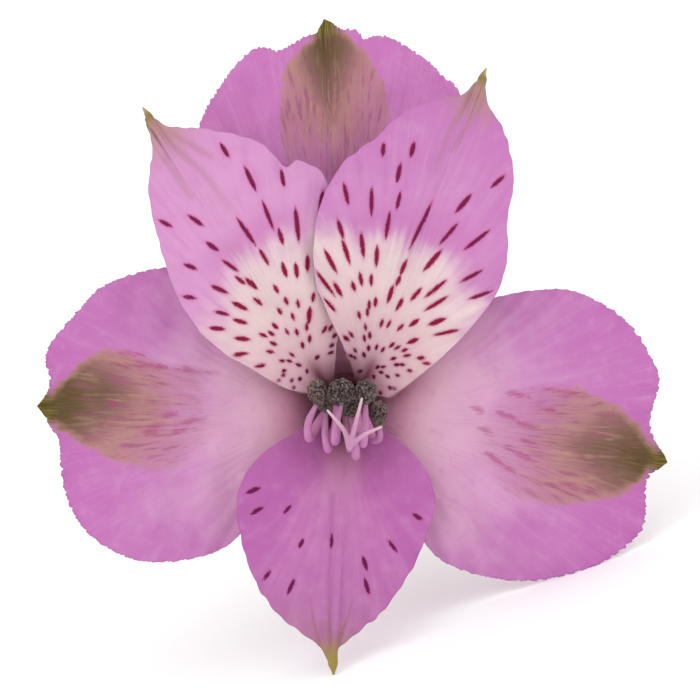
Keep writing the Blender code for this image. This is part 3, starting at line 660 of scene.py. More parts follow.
def blade_faces(rows, columns, row_step, column_step, facing):
    """Faces of a closed blade: its front's grid, its back's coarser one, and the rim between them."""
    back_columns = columns // column_step
    front_count = (rows + 1) * (columns + 1)

    def front(row, column):
        return row * (columns + 1) + column

    def back(row, column):
        return front_count + row // row_step * (back_columns + 1) + column // column_step

    def rim_face(places, forward):
        run = [front(*place) for place in places]
        ends = [back(*places[-1]), back(*places[0])]
        return tuple(run + ends) if forward else tuple(run[::-1] + ends[::-1])

    faces = []
    for row in range(rows):
        for column in range(columns):
            faces.append((front(row, column), front(row, column + 1),
                          front(row + 1, column + 1), front(row + 1, column)))
    for row in range(0, rows, row_step):
        for column in range(0, columns, column_step):
            after_row, after_column = row + row_step, column + column_step
            faces.append((back(row, column), back(after_row, column),
                          back(after_row, after_column), back(row, after_column)))
    for row, forward in ((0, False), (rows, True)):
        for start in range(0, columns, column_step):
            faces.append(rim_face([(row, start + k) for k in range(column_step + 1)], forward))
    for column, forward in ((0, True), (columns, False)):
        for start in range(0, rows, row_step):
            faces.append(rim_face([(start + k, column) for k in range(row_step + 1)], forward))
    return [face[::-1] for face in faces] if facing > 0 else faces


def make_tepal(name, tepal, look):
    surface = tepal_surface(name, tepal)
    normals, facing = surface_normals(surface["points"])
    out = normals * blade_thickness(surface)[..., None] / 2
    row_step, column_step = KINDS[tepal["kind"]]["back_steps"]

    def both_sides(front, back):
        return np.vstack((front.reshape(-1, 3), back[::row_step, ::column_step].reshape(-1, 3)))

    points = both_sides(surface["points"] + out, surface["points"] - out)
    fields = {field: both_sides(values, values) for field, values in tepal_fields(surface, tepal).items()}
    rows, columns = out.shape[0] - 1, out.shape[1] - 1
    behind = np.arange(len(points)) >= (rows + 1) * (columns + 1)
    fields["behind"] = three(behind, tepal.get("paler", 0), tepal.get("pinch", 0.75))
    faces = blade_faces(rows, columns, row_step, column_step, facing)
    obj = add_piece(f"{name}_petal", points, faces, fields, look)
    stand_for(obj, name.rsplit("_", 1)[0], name)


def wall_faces(rings, sides, first=0):
    """Faces between rings of points with this many sides, numbered one after the other from the first."""
    faces = []
    for start in range(first, first + (rings - 1) * sides, sides):
        for k in range(sides):
            after = (k + 1) % sides
            faces.append((start + k, start + after, start + sides + after, start + sides + k))
    return faces


def tube_mesh(path, radii, sides):
    """Points, faces and share along of a rod along a path."""
    forward = np.gradient(path, axis=0)
    forward /= np.linalg.norm(forward, axis=1)[:, None]
    side = unit(np.cross(forward[0], (0.3, 0.1, 1.0)))
    angles = np.linspace(0, 2 * math.pi, sides, endpoint=False)
    points = []
    for centre, ahead, radius in zip(path, forward, radii):
        side = unit(side - ahead * (side @ ahead))
        other = np.cross(ahead, side)
        points.append(centre + radius * (np.cos(angles)[:, None] * side + np.sin(angles)[:, None] * other))
    faces = wall_faces(len(path), sides)
    faces.append(tuple(range(sides))[::-1])
    faces.append(tuple(range((len(path) - 1) * sides, len(path) * sides)))
    return np.vstack(points), faces, np.repeat(np.arange(len(path)) / (len(path) - 1), sides)


def rounded_ends(path, radii, count=5):
    """The path and radii with both ends closed in a quarter round."""
    rise = np.sin(np.linspace(0, math.pi / 2, count))[1:]
    fall = np.sqrt(1 - rise**2)
    fall[-1] = 0.08
    before = unit(path[0] - path[1]) * radii[0]
    after = unit(path[-1] - path[-2]) * radii[-1]
    head = path[0] + rise[::-1, None] * before * 0.5
    tail = path[-1] + rise[:, None] * after * 0.9
    return np.vstack((head, path, tail)), np.concatenate((fall[::-1] * radii[0], radii, fall * radii[-1]))


def filament_path(stamen):
    """From the ovary out of the throat, down to the bend and up to just under the anther."""
    angle = math.radians(stamen["ring_angle"])
    ring_x = STAMEN_RING * math.cos(angle)
    ring_z = STAMEN_RING * math.sin(angle)
    bend = np.array(stamen["bend"])
    tip = np.array(stamen["anther"]) + (0, 0.1, -(stamen["size"][2] + 0.02))
    return (
        (ring_x, OVARY_TOP + JOIN, ring_z),
        (ring_x * 1.05, 19, ring_z * 1.05 - 0.1),
        (ring_x * 1.1 + bend[0] * 0.1, 12, ring_z * 1.05 - 0.9),
        (ring_x * 0.7 + bend[0] * 0.45, 5, ring_z * 0.8 + bend[2] * 0.5),
        bend * 0.9 + (0, 2.2, 0),
        bend,
        stamen["rise"],
        tip,
    )


def make_filament(number, stamen, look):
    path = smooth_path(filament_path(stamen), FILAMENT_POINTS)
    share = np.linspace(0, 1, len(path))
    radii = FILAMENT_RADIUS * np.interp(share, (0, 0.5, 0.8, 0.95, 1), (0.9, 1.0, 1.2, 0.85, 0.5))
    radii = radii * (1 + 0.03 * ripples(number, 0.3, share))
    points, faces, shares = tube_mesh(*rounded_ends(path, radii), FILAMENT_SIDES)
    obj = add_piece(f"filament_{number}_rod", points, faces, {"place": three(shares, 0, number)}, look)
    stand_for(obj, "filament", f"filament_{number}")


def make_anther(number, stamen, look):
    """Two pollen lobes side by side, covered all over with the pollen grains that they shed."""
    made = bmesh.new()
    bmesh.ops.create_icosphere(made, subdivisions=6, radius=1)
    round_points = np.array([vert.co for vert in made.verts])
    faces = [tuple(vert.index for vert in face.verts) for face in made.faces]
    made.free()
    seed = 70 + number
    x, y, z = round_points.T
    groove = 1 - GROOVE_DEPTH * np.exp(-((x / GROOVE_WIDTH) ** 2)) - 0.12 * np.exp(-((y / 0.2) ** 2))
    lumps = 1.02 + ANTHER_UNEVEN * ripples(seed, 1.0, x, y, z)
    size = np.array(stamen["size"])
    shaped = round_points * three(lumps, groove * lumps, lumps) * size * 0.97
    random = np.random.default_rng(seed)
    grains = random.normal(size=(POLLEN_GRAINS, 3))
    grains /= np.linalg.norm(grains, axis=1)[:, None]
    grain_size = random.uniform(*POLLEN_RADIUS, len(grains))
    raised = np.zeros(len(shaped))
    which = np.zeros(len(shaped))
    for index, (grain, radius) in enumerate(zip(grains, grain_size)):
        off = np.linalg.norm((round_points - grain) * size, axis=1) / radius
        height = radius * POLLEN_STANDS_OUT * np.sqrt(np.clip(1 - off**2, 0, 1))
        which = np.where(height > raised, (index % POLLEN_SHADES) / POLLEN_SHADES, which)
        raised = np.maximum(raised, height)
    points = shaped + round_points * raised[:, None] + np.array(stamen["anther"])
    field = three(raised / 0.1, which, number)
    obj = add_piece(f"anther_{number}_pollen", points, faces, {"place": field}, look)
    stand_for(obj, "anther", f"anther_{number}")


def make_style(look):
    """The style and its three stigma lobes, grown together where they part."""
    path = smooth_path(STYLE_PATH, STYLE_POINTS)
    rods = [rounded_ends(path, np.full(len(path), STYLE_RADIUS))]
    end = np.array(STYLE_PATH[-1])
    for number, (middle, tip) in enumerate(STIGMA_LOBES):
        lobe = smooth_path((end + (0, 0.35, 0.05 * number), middle, tip), LOBE_POINTS)
        rods.append(rounded_ends(lobe, np.linspace(STYLE_RADIUS * 1.1, STYLE_RADIUS * 0.4, len(lobe))))
    points, faces = [], []
    for path, radii in rods:
        rod_points, rod_faces = tube_mesh(path, radii, STYLE_SIDES)[:2]
        offset = sum(map(len, points))
        points.append(rod_points)
        faces += [tuple(index + offset for index in face) for face in rod_faces]
    obj = add_piece("style_rod", np.vstack(points), faces, {}, look)
    remesh = obj.modifiers.new("grown together", "REMESH")
    remesh.mode = "VOXEL"
    remesh.voxel_size = STYLE_CELL * MM
    smooth = obj.modifiers.new("soft joins", "SMOOTH")
    smooth.factor = 0.5
    smooth.iterations = 6
    graph = bpy.context.evaluated_depsgraph_get()
    mesh = bpy.data.meshes.new_from_object(obj.evaluated_get(graph))
    obj.modifiers.clear()
    obj.data = mesh
    world = np.empty(len(mesh.vertices) * 3)
    mesh.vertices.foreach_get("co", world)
    local = moved(world.reshape(-1, 3), bloom_matrix().inverted())
    to_tip = np.min([np.linalg.norm(local - tip, axis=1) for _, tip in STIGMA_LOBES], axis=0)
    add_field(mesh, "place", three(to_tip, local[:, 1], 0))
    mesh.shade_smooth()
    stand_for(obj, "style", "style")


def make_ovary(look):
    """A top-shaped ovary, with a rib below each tepal."""
    profile = smooth_path(OVARY_PROFILE, OVARY_RINGS)
    angle = np.linspace(0, 2 * math.pi, OVARY_SIDES, endpoint=False)
    radius, along = profile[:, :1], profile[:, 1:]
    rib = OVARY_RIB_HEIGHT * smoothstep(0, 1.5, along) * smoothstep(0, 3, OVARY_LENGTH - along)
    between = (1 - np.cos(OVARY_RIBS * (angle - math.pi / 6))) / 2
    uneven = 0.06 * ripples(31, 2.0, radius * np.cos(angle), radius * np.sin(angle), along)
    out = radius - rib * between + uneven * smoothstep(0, 1, along) * smoothstep(0, 1, OVARY_LENGTH - along)
    points = three(out * np.cos(angle), OVARY_TOP + along, out * np.sin(angle)).reshape(-1, 3)
    faces = [(a, d, c, b) for a, b, c, d in wall_faces(OVARY_RINGS, OVARY_SIDES)]
    faces.append(tuple(range(OVARY_SIDES)))
    faces.append(tuple(range(len(points) - OVARY_SIDES, len(points)))[::-1])
    field = three(along, between, 0).reshape(-1, 3)
    obj = add_piece("ovary_skin", points, faces, {"place": field}, look)
    obj.data.set_sharp_from_angle(angle=math.radians(60))
    stand_for(obj, "green_parts", "ovary")


def make_pedicel(look):
    """The flower's stalk, which bends down a little towards its square-cut end."""
    start = OVARY_TOP + OVARY_LENGTH + GAP
    share = np.linspace(0, 1, PEDICEL_POINTS)
    bow = PEDICEL_BOW * np.sin(math.pi * share)
    path = three(bow, start + PEDICEL_LENGTH * share, -PEDICEL_SAG * share**2)
    path[0, 1] = start - GAP * 0.9
    radii = np.linspace(*PEDICEL_RADIUS, len(path)) * (1 + 0.012 * ripples(41, 0.2, share))
    points, faces, shares = tube_mesh(path, radii, PEDICEL_SIDES)
    skin_count = len(points)
    rim = points[-PEDICEL_SIDES:]
    cut = [path[-1] + (rim - path[-1]) * (1 - ring / (CUT_RINGS + 0.5)) for ring in range(1, CUT_RINGS + 1)]
    points = np.vstack([points] + cut)
    faces = faces[:-1] + wall_faces(CUT_RINGS + 1, PEDICEL_SIDES, skin_count - PEDICEL_SIDES)
    faces.append(tuple(range(len(points) - PEDICEL_SIDES, len(points))))
    on_cut = np.repeat(np.arange(1, CUT_RINGS + 1) / CUT_RINGS, PEDICEL_SIDES)
    on_cut = np.concatenate((np.zeros(skin_count), on_cut))
    shares = np.concatenate((shares, np.ones(len(on_cut) - skin_count)))
    obj = add_piece("pedicel_skin", points, faces, {"place": three(shares, on_cut, 0)}, look)
    obj.data.set_sharp_from_angle(angle=math.radians(50))
    stand_for(obj, "green_parts", "pedicel")


def linear(colour):
    """A display colour of 0 to 255 as the linear colour with alpha that a shader takes."""
    parts = [part / 255 for part in colour]
    curve = [part / 12.92 if part <= 0.04045 else ((part + 0.055) / 1.055) ** 2.4 for part in parts]
    return (*curve, 1.0)


class Recipe:
    """One material's nodes, a call a node. An input is a number, a colour or another node's output."""

    def __init__(self, name):
        self.material = bpy.data.materials.new(name)
        self.material.use_nodes = True
        self.tree = self.material.node_tree
        self.tree.nodes.clear()

    def node(self, kind, inputs, **settings):
        made = self.tree.nodes.new(kind)
        for setting, value in settings.items():
            setattr(made, setting, value)
        for socket, value in inputs.items():
            if isinstance(value, bpy.types.NodeSocket):
                self.tree.links.new(value, made.inputs[socket])
            else:
                made.inputs[socket].default_value = value
        return made

    def field(self, name):
        return self.node("ShaderNodeAttribute", {}, attribute_name=name).outputs["Vector"]

    def parts(self, name):
        """The three numbers of a field."""
        return tuple(self.node("ShaderNodeSeparateXYZ", {0: self.field(name)}).outputs)

    def math(self, operation, *values):
        return self.node("ShaderNodeMath", dict(enumerate(values)), operation=operation).outputs[0]

    def times(self, *values):
        product = values[0]
        for value in values[1:]:
            product = self.math("MULTIPLY", product, value)
        return product

    def smooth(self, value, start, end, low=0.0, high=1.0):
        inputs = {"Value": value, "From Min": start, "From Max": end, "To Min": low, "To Max": high}
        return self.node("ShaderNodeMapRange", inputs, interpolation_type="SMOOTHSTEP").outputs[0]

    def shifted(self, value, *pushes):
        """A value pushed up and down by each (noise, amount), where the noise's middle is 0.5."""
        for noise, amount in pushes:
            value = self.math("MULTIPLY_ADD", self.math("SUBTRACT", noise, 0.5), amount, value)
        return value

    def noise(self, vector, scale, detail):
        place = self.node("ShaderNodeVectorMath", {0: vector, 1: scale}, operation="MULTIPLY").outputs[0]
        inputs = {"Vector": place, "Scale": 1.0, "Detail": detail, "Roughness": 0.5}
        return self.node("ShaderNodeTexNoise", inputs).outputs[0]

    def streaks(self, wide, long, detail=2.0):
        """Noise drawn out along the veins, this wide and long in millimetres."""
        return self.noise(self.field("grain"), (1 / wide, 1 / long, 1.0), detail)

    def grains(self, size, detail=2.0):
        """Noise with no direction, of this size in millimetres."""
        place = self.node("ShaderNodeTexCoord", {}).outputs["Object"]
        return self.noise(place, (1 / MM / size,) * 3, detail)

    def ramp(self, value, *stops):
        """A colour that changes with value, by stops of (value, display colour) between their ends."""
        low, high = stops[0][0], stops[-1][0]
        share = self.node("ShaderNodeMapRange", {"Value": value, "From Min": low, "From Max": high})
        made = self.node("ShaderNodeValToRGB", {0: share.outputs[0]})
        elements = made.color_ramp.elements
        for index, (at, colour) in enumerate(stops):
            position = (at - low) / (high - low)
            element = elements[index] if index < 2 else elements.new(position)
            element.position = position
            element.color = linear(colour)
        return made.outputs[0]

    def mix(self, share, first, second):
        """The first colour, and the second laid over it by share."""
        first, second = (linear(c) if isinstance(c, tuple) else c for c in (first, second))
        made = self.node("ShaderNodeMix", {0: share, 6: first, 7: second}, data_type="RGBA")
        return made.outputs[2]

    def over(self, under, colour, value, start, end, share=1.0):
        """Another colour laid over one, from none where value is at start to this share at end."""
        return self.mix(self.smooth(value, start, end, 0.0, share), under, colour)

    def streaked(self, colour, streak, darker, paler, share):
        """Streaks over a colour, darker and paler by turns."""
        colour = self.over(colour, darker, streak, 0.5, 0.78, share)
        return self.over(colour, paler, streak, 0.5, 0.22, share)

    def bump(self, height, distance, strength, **over):
        """Bump of this distance in millimetres, over the Normal given, if any."""
        inputs = {"Height": height, "Distance": distance * MM, "Strength": strength, **over}
        return self.node("ShaderNodeBump", inputs).outputs[0]

    def finish(self, colour, normal, shader, through=0.0):
        """Ends the material in a Principled shader, with this share of light let through."""
        inputs = {"Base Color": colour, "Normal": normal, **shader}
        surface = self.node("ShaderNodeBsdfPrincipled", inputs).outputs[0]
        if through:
            lit = self.node("ShaderNodeBsdfTranslucent", {"Color": colour, "Normal": normal}).outputs[0]
            surface = self.node("ShaderNodeMixShader", {0: through, 1: surface, 2: lit}).outputs[0]
        self.node("ShaderNodeOutputMaterial", {0: surface})
        return self.material


def shader_numbers(roughness, specular, sheen=0.0):
    return {"Roughness": roughness, "Specular IOR Level": specular, "Sheen Weight": sheen}


class Petal(Recipe):
    """A petal's material, with what is measured over the petal, and noise of these sizes in millimetres."""

    def __init__(self, name, broad, fine, cloud, mottle):
        super().__init__(name)
        self.radius, self.edge, self.tip = self.parts("place")
        self.blotch, self.patch, self.fleck = self.parts("zone")
        self.tan_line, self.crease, self.middle = self.parts("line")
        self.behind, self.paler, self.pinch = self.parts("behind")
        self.broad = self.streaks(*broad)
        self.fine = self.streaks(*fine)
        self.cloud = self.grains(cloud)
        self.mottle = self.grains(*mottle)
        self.cells = self.grains(0.16, 3.0)

    def by_radius(self, start, end, low=0.0, high=1.0):
        return self.smooth(self.radius, start, end, low, high)

    def by_tip(self, start, end, low=0.0, high=1.0):
        return self.smooth(self.tip, start, end, low, high)

    def reach(self, broad_span, cloud_span):
        """The radius, pushed about by noise that grows from the throat outwards."""
        pushes = (self.broad, self.by_radius(*broad_span)), (self.cloud, self.by_radius(*cloud_span))
        return self.shifted(self.radius, *pushes)

    def spotted(self, colour, fleck_colour):
        """Lays the flecks over a colour, darker in the throat and with a faint halo round them."""
        ragged = self.shifted(self.fleck, (self.cells, 0.3))
        colour = self.over(colour, (190, 76, 140), ragged, 0.26, 0.02, 0.45)
        fleck_colour = self.over(fleck_colour, (92, 12, 38), self.radius, 10, 5)
        return self.over(colour, fleck_colour, ragged, 0.06, -0.06)

    def back(self, midrib_stops, claw_span, claw_colour, tip_start, tip_share, tip_colour):
        """The back's colour, by stops from its midrib outwards, with its claw and its tip."""
        colour = self.ramp(self.shifted(self.middle, (self.fine, 0.2)), *midrib_stops)
        colour = self.over(colour, claw_colour, self.radius, *claw_span, 0.8)
        return self.over(colour, tip_colour, self.tip, tip_start, 1.5, tip_share)

    def finish_sides(self, colour, back_colour):
        """Ends the material, with fine veins and cells as bump over the relief that the mesh has."""
        normal = self.bump(self.times(self.fine, self.by_radius(8, 26)), 0.02, 0.3)
        normal = self.bump(self.cells, 0.012, 0.4, Normal=normal)
        shader = {**shader_numbers(0.52, 0.2, 0.05), "Sheen Roughness": 0.5}
        return self.finish(self.mix(self.behind, colour, back_colour), normal, shader, 0.2)


def outer_material():
    petal = Petal("outer tepal", (2, 9), (0.36, 4), 5.5, (1.2, 4))
    stains = petal.streaks(1, 4, 5)
    dashes = petal.streaks(0.26, 2.2)

    # By radius: darker below 6 mm, partly the tepal's own colour and partly painted shade of the deep throat;
    # paler round 10 mm, the tepal's pale centre made lighter still by painted light that stands in for light
    # let through the thin tepals.
    colour = petal.ramp(
        petal.reach((6, 16, 0.5, 4), (6, 16, 4, 14)),
        (3.5, (178, 112, 136)), (6, (222, 162, 188)), (10, (226, 182, 202)),
        (17, (214, 160, 198)), (25, (199, 127, 186)), (34, (194, 114, 182)),
    )
    colour = petal.over(colour, (200, 116, 186), petal.edge, 3.6, 0, 0.2)
    near_tip = petal.shifted(petal.tip, (petal.cloud, 8))
    colour = petal.over(colour, (190, 94, 174), near_tip, 12, 5, 0.3)
    colour = petal.mix(petal.paler, colour, (232, 160, 216))
    share = petal.by_radius(10, 26, 0.04, 0.24)
    colour = petal.streaked(colour, petal.broad, (190, 104, 177), (216, 166, 207), share)
    share = petal.by_radius(12, 32, 0, 0.14)
    colour = petal.streaked(colour, petal.fine, (182, 92, 168), (222, 174, 213), share)
    colour = petal.streaked(colour, petal.mottle, (190, 106, 176), (218, 166, 208), 0.22)

    ragged = petal.shifted(petal.patch, (petal.broad, 1.2), (petal.fine, 0.4), (petal.mottle, 1.4))
    faded = petal.smooth(petal.shifted(petal.tip, (petal.broad, 9), (petal.cloud, 6)), 23, 11, 0, 0.97)
    on_patch = petal.times(petal.smooth(ragged, 0.3, -0.5), faded)
    olive = petal.shifted(petal.tip, (stains, 5), (petal.cloud, 3))
    patch_colour = petal.ramp(
        petal.math("MULTIPLY_ADD", petal.crease, petal.pinch, olive),
        (1, (86, 72, 22)), (4.5, (94, 76, 30)), (7.5, (120, 92, 68)), (10, (144, 102, 97)),
        (12.5, (177, 127, 127)), (16, (184, 126, 140)), (21, (192, 128, 158)),
    )
    away = petal.by_tip(2.5, 9, 0.25, 1)
    for noise, start, end, share, streak_colour in (
        (petal.fine, 0.52, 0.72, 0.2, (192, 146, 122)),
        (petal.fine, 0.48, 0.28, 0.22, (104, 58, 68)),
        (stains, 0.52, 0.64, 0.6, (150, 78, 108)),
        (stains, 0.46, 0.34, 0.5, (190, 144, 134)),
    ):
        share = petal.times(petal.smooth(noise, start, end, 0, share), away)
        patch_colour = petal.mix(share, patch_colour, streak_colour)
    in_line = petal.shifted(petal.tan_line, (petal.fine, 0.5), (petal.mottle, 0.7))
    share = petal.times(
        petal.smooth(in_line, 0.26, -0.1), petal.by_tip(28, 16, 0, 0.5), petal.by_tip(3, 9)
    )
    patch_colour = petal.mix(share, patch_colour, (196, 150, 122))
    colour = petal.mix(on_patch, colour, patch_colour)
    border = petal.times(
        petal.smooth(ragged, 0.4, -0.1), petal.smooth(ragged, -0.9, -0.3), petal.by_tip(20, 6, 0, 0.4)
    )
    colour = petal.mix(border, colour, (186, 142, 118))

    broken = petal.shifted(petal.fleck, (dashes, 1.8), (petal.mottle, 0.8))
    colour = petal.over(colour, (170, 64, 118), broken, 0.25, -0.25, 0.6)
    dashed = petal.times(
        petal.smooth(dashes, 0.6, 0.7, 0, 0.6), petal.smooth(ragged, 1, -0.6),
        petal.by_tip(9, 14), petal.by_tip(24, 17),
    )
    colour = petal.mix(dashed, colour, (170, 70, 122))
    horn_colour = petal.over((84, 70, 22), (128, 112, 46), petal.fine, 0.4, 0.6)
    colour = petal.over(colour, horn_colour, petal.tip, 3, 1)

    back_colour = petal.back(
        ((0, (150, 144, 98)), (0.08, (172, 148, 128)), (0.2, (196, 146, 176)), (0.85, (202, 136, 192))),
        (16, 5), (184, 174, 124), 6, 0.8, (122, 114, 58),
    )
    back_colour = petal.streaked(back_colour, petal.fine, (160, 108, 140), (208, 172, 196), 0.2)
    return petal.finish_sides(colour, back_colour)


def inner_upper_material():
    petal = Petal("inner upper tepal", (1.7, 10), (0.34, 5), 5, (1.8, 3))
    reach = petal.reach((6, 16, 0.5, 4), (6, 16, 2, 10))
    lilac = petal.ramp(
        reach, (8, (216, 168, 202)), (16, (211, 145, 196)), (26, (204, 134, 191)), (36, (196, 122, 184))
    )
    lilac = petal.over(lilac, (198, 120, 186), petal.edge, 2.5, 0, 0.35)
    lilac = petal.mix(petal.paler, lilac, (232, 180, 216))
    lilac = petal.streaked(lilac, petal.broad, (198, 116, 184), (216, 164, 206), 0.3)
    lilac = petal.streaked(lilac, petal.fine, (192, 108, 178), (224, 176, 214), 0.12)
    lilac = petal.streaked(lilac, petal.mottle, (198, 118, 186), (218, 166, 208), 0.25)
    # By radius: whitest at 6 mm, painted light that offsets the shade of the throat, and darker below it,
    # painted shade of the throat.
    pale = petal.ramp(
        reach,
        (3.5, (212, 162, 174)), (6, (244, 212, 218)), (9, (237, 205, 208)),
        (13, (234, 211, 209)), (20, (233, 212, 214)),
    )
    pale = petal.streaked(pale, petal.broad, (222, 190, 198), (240, 226, 214), 0.3)
    pale = petal.streaked(pale, petal.mottle, (224, 194, 202), (240, 224, 214), 0.3)
    # Painted shade down the middle of the claw's channel, near the throat.
    channel_shade = petal.times(petal.smooth(petal.middle, 0.55, 0), petal.by_radius(7.5, 4, 0, 0.9))
    pale = petal.mix(channel_shade, pale, (140, 74, 90))
    ragged = petal.shifted(petal.blotch, (petal.broad, 2.2), (petal.fine, 0.7), (petal.cloud, 3))
    in_white = petal.smooth(petal.shifted(ragged, (petal.mottle, 1.4)), 2.8, -2.2)
    colour = petal.mix(in_white, lilac, pale)
    border = petal.times(
        petal.smooth(ragged, 5, 1.8), petal.smooth(ragged, -0.2, 1.6), petal.smooth(petal.edge, 2, 6, 0, 0.35)
    )
    colour = petal.mix(border, colour, (194, 100, 176))
    colour = petal.over(colour, (206, 110, 168), petal.fleck, 0.9, 0.1, 0.1)

    lined = petal.shifted(petal.tan_line, (petal.fine, 0.5), (petal.mottle, 0.8))
    lined = petal.times(petal.smooth(lined, 0.7, 0), petal.by_tip(19, 4, 0, 0.5))
    colour = petal.mix(lined, colour, (170, 120, 130))
    near_tip = petal.shifted(petal.tip, (petal.fine, 4), (petal.broad, 3))
    colour = petal.over(colour, (178, 140, 118), near_tip, 8, 2, 0.75)
    colour = petal.over(colour, (150, 126, 56), petal.tip, 2.8, 0.8)
    colour = petal.over(colour, (206, 190, 146), petal.tip, 1.2, 0.3, 0.6)
    colour = petal.spotted(colour, petal.mix(in_white, (120, 8, 70), (142, 4, 52)))

    back_colour = petal.back(
        ((0, (168, 156, 116)), (0.08, (192, 160, 160)), (0.22, (208, 152, 196)), (0.8, (204, 138, 192))),
        (14, 7), (188, 166, 128), 7, 0.85, (126, 112, 56),
    )
    return petal.finish_sides(colour, back_colour)


def inner_lower_material():
    petal = Petal("inner lower tepal", (1.8, 10), (0.34, 5), 4.5, (1.5, 3))
    # By radius: darker below 6.5 mm, painted shade where the tepal dips into the throat.
    colour = petal.ramp(
        petal.reach((7, 16, 0.3, 3), (6, 14, 3, 8)),
        (4, (158, 98, 124)), (6.5, (202, 138, 176)), (9.5, (208, 141, 188)),
        (14, (195, 121, 178)), (18, (190, 116, 176)), (24, (184, 116, 166)), (29, (168, 112, 132)),
    )
    aside = petal.shifted(petal.middle, (petal.cloud, 0.3), (petal.broad, 0.2))
    colour = petal.over(colour, (184, 94, 171), aside, 0.25, 0.7, 0.7)
    share = petal.by_radius(8, 18, 0.04, 0.25)
    colour = petal.streaked(colour, petal.broad, (178, 98, 166), (208, 150, 196), share)
    share = petal.by_radius(10, 22, 0, 0.08)
    colour = petal.streaked(colour, petal.fine, (172, 84, 160), (212, 152, 202), share)
    colour = petal.streaked(colour, petal.mottle, (178, 96, 166), (208, 146, 196), 0.3)
    # Darker along the centre crease: painted shade.
    crease_shade = petal.shifted(petal.crease, (petal.fine, 0.5), (petal.mottle, 0.6))
    colour = petal.over(colour, (160, 82, 144), crease_shade, 0.6, 0, 0.35)
    lined = petal.shifted(petal.tan_line, (petal.fine, 0.25), (petal.mottle, 0.3))
    lined = petal.times(petal.smooth(lined, 0.32, 0.04), petal.by_tip(11, 5, 0, 0.55))
    colour = petal.mix(lined, colour, (150, 104, 92))
    near_tip = petal.shifted(petal.tip, (petal.fine, 4))
    colour = petal.over(colour, (160, 142, 66), near_tip, 5, 1.5, 0.95)
    colour = petal.spotted(colour, (102, 2, 76))

    back_colour = petal.back(
        ((0, (160, 150, 108)), (0.1, (184, 146, 152)), (0.24, (200, 138, 186)), (0.8, (194, 122, 182))),
        (12, 6), (180, 158, 122), 6, 0.85, (126, 116, 56),
    )
    return petal.finish_sides(colour, back_colour)


def filament_material():
    recipe = Recipe("filament")
    share = recipe.parts("place")[0]
    cloud = recipe.grains(0.8)
    cells = recipe.grains(0.12)
    # Along the filament: lighter round the bend, from 0.7 to 0.86 of the way, a painted highlight, and darker
    # just under the anther.
    colour = recipe.ramp(
        recipe.shifted(share, (cloud, 0.1)),
        (0, (168, 140, 120)), (0.45, (176, 108, 150)), (0.7, (204, 132, 182)),
        (0.86, (200, 130, 181)), (1, (148, 96, 124)),
    )
    colour = recipe.over(colour, (222, 172, 208), cells, 0.4, 0.8, 0.18)
    normal = recipe.bump(cells, 0.012, 0.4)
    return recipe.finish(colour, normal, shader_numbers(0.4, 0.35, 0.03), 0.12)


def style_material():
    recipe = Recipe("style")
    to_tip = recipe.parts("place")[0]
    cells = recipe.grains(0.12)
    colour = recipe.ramp(
        to_tip,
        (0, (214, 184, 188)), (1.5, (204, 160, 176)), (3.2, (192, 134, 172)),
        (8, (182, 112, 160)), (30, (170, 150, 110)),
    )
    colour = recipe.over(colour, (234, 202, 218), cells, 0.4, 0.8, 0.2)
    normal = recipe.bump(cells, 0.012, 0.4)
    return recipe.finish(colour, normal, shader_numbers(0.38, 0.4, 0.03), 0.12)


def anther_material():
    """Grey pollen in several shades, with orange grains most of all on the two outermost anthers."""
    recipe = Recipe("anther")
    raised, which, number = recipe.parts("place")
    cells = recipe.grains(0.07, 3)
    patches = recipe.grains(0.7)
    colour = recipe.ramp(
        which,
        (0, (62, 50, 48)), (0.3, (86, 72, 68)), (0.6, (100, 86, 84)), (0.85, (106, 92, 90)),
        (1, (116, 104, 102)),
    )
    colour = recipe.over(colour, (100, 72, 60), patches, 0.55, 0.7, 0.4)
    colour = recipe.over(colour, (96, 98, 108), patches, 0.42, 0.3, 0.3)
    from_middle = recipe.math("ABSOLUTE", recipe.math("SUBTRACT", number, 3.5))
    orange = recipe.times(
        recipe.smooth(which, 0.5, 0.52), recipe.smooth(which, 0.58, 0.56),
        recipe.smooth(from_middle, 2, 2.4, 0.15, 0.85),
    )
    colour = recipe.mix(orange, colour, (158, 88, 44))
    colour = recipe.over(colour, (34, 24, 24), raised, 0.55, 0.1)
    colour = recipe.over(colour, (138, 128, 126), cells, 0.55, 0.75, 0.25)
    normal = recipe.bump(cells, 0.02, 0.6)
    return recipe.finish(colour, normal, shader_numbers(0.75, 0.25, 0.04))


def green_material(name, crown, *along_stops):
    """Mottled green by stops along it, paler between ribs and on a cut, pink at the crown by a share."""
    recipe = Recipe(name)
    along, between = recipe.parts("place")[:2]
    cloud = recipe.grains(3)
    mottle = recipe.grains(0.9, 3)
    cells = recipe.grains(0.2, 3)
    colour = recipe.ramp(recipe.shifted(along, (cloud, 0.12 * along_stops[-1][0])), *along_stops)
    colour = recipe.over(colour, (150, 156, 92), between, 0.2, 0.9, 0.45)
    colour = recipe.streaked(colour, mottle, (92, 104, 46), (156, 164, 96), 0.35)
    colour = recipe.over(colour, (172, 178, 118), cells, 0.5, 0.75, 0.25)
    colour = recipe.over(colour, (180, 104, 126), along, 0.3, 0.05, crown)
    normal = recipe.bump(cells, 0.04, 0.6, Normal=recipe.bump(mottle, 0.08, 0.4))
    return recipe.finish(colour, normal, shader_numbers(0.45, 0.4, 0.05))


# The picture is 77 mm wide at the throat, 700 pixels of 0.11 mm, and its middle is here on the bloom.
VIEW_WIDTH = 77.0
VIEW_MIDDLE = (0.55, 5.5)
VIEW_DISTANCE = 1500.0
SENSOR = 36.0
WORLD_STRENGTH = 1.11
FLOOR_SIZE = 6.0
LIGHTS = (
    {"name": "key light", "at": (-0.55, -0.95, 1.05), "size": 2.0, "watts": 3.9},
    {"name": "fill light", "at": (0.8, -0.8, 0.45), "size": 1.2, "watts": 1.5},
)


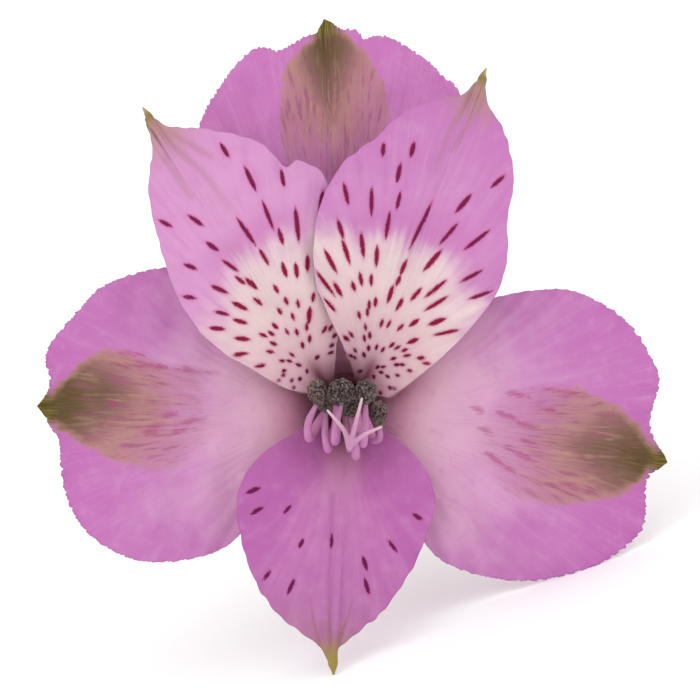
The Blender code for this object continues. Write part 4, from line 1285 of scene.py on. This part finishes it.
def make_camera():
    camera = bpy.data.cameras.new("camera")
    camera.sensor_width = SENSOR
    camera.lens = SENSOR * VIEW_DISTANCE / VIEW_WIDTH
    obj = new_object("camera", camera)
    place = bloom_matrix()
    facing = Matrix(((1, 0, 0), (0, 0, -1), (0, 1, 0)))
    obj.matrix_world = (place.to_3x3().normalized() @ facing).to_4x4()
    obj.location = place @ Vector((VIEW_MIDDLE[0], -VIEW_DISTANCE, VIEW_MIDDLE[1]))
    bpy.context.scene.camera = obj


def make_lights():
    for light in LIGHTS:
        lamp = bpy.data.lights.new(light["name"], "AREA")
        lamp.shape = "DISK"
        lamp.size = light["size"]
        lamp.energy = light["watts"]
        obj = new_object(light["name"], lamp)
        obj.location = light["at"]
        aim = Vector(THROAT_AT) * MM - Vector(light["at"])
        obj.rotation_euler = aim.to_track_quat("-Z", "Y").to_euler()
    world = bpy.data.worlds.new("studio")
    world.use_nodes = True
    background = world.node_tree.nodes["Background"]
    background.inputs["Color"].default_value = (1, 1, 1, 1)
    background.inputs["Strength"].default_value = WORLD_STRENGTH
    bpy.context.scene.world = world


def make_floor():
    made = bmesh.new()
    bmesh.ops.create_grid(made, x_segments=8, y_segments=8, size=FLOOR_SIZE)
    mesh = bpy.data.meshes.new("floor")
    made.to_mesh(mesh)
    made.free()
    recipe = Recipe("floor")
    mottle = recipe.grains(60)
    colour = recipe.mix(mottle, (251, 251, 251), (253, 253, 253))
    mesh.materials.append(recipe.finish(colour, recipe.bump(mottle, 0.01, 0.1), shader_numbers(0.8, 0.2)))
    floor = new_object("floor", mesh)


def main():
    bpy.context.scene.view_settings.view_transform = "Standard"
    make_camera()
    make_lights()
    make_floor()
    looks = {"outer": outer_material(), "upper": inner_upper_material(), "lower": inner_lower_material()}
    for name, tepal in TEPALS.items():
        make_tepal(name, tepal, looks[tepal["kind"]])
    filament_look, anther_look = filament_material(), anther_material()
    for number, stamen in enumerate(STAMENS, start=1):
        make_filament(number, stamen, filament_look)
        make_anther(number, stamen, anther_look)
    make_style(style_material())
    ovary_stops = (0, (132, 112, 70)), (4, (112, 122, 62)), (OVARY_LENGTH, (108, 124, 58))
    make_ovary(green_material("ovary", 1, *ovary_stops))
    pedicel_stops = (0, (110, 124, 60)), (0.5, (120, 136, 66)), (1, (112, 130, 62))
    make_pedicel(green_material("pedicel", 0, *pedicel_stops))


main()
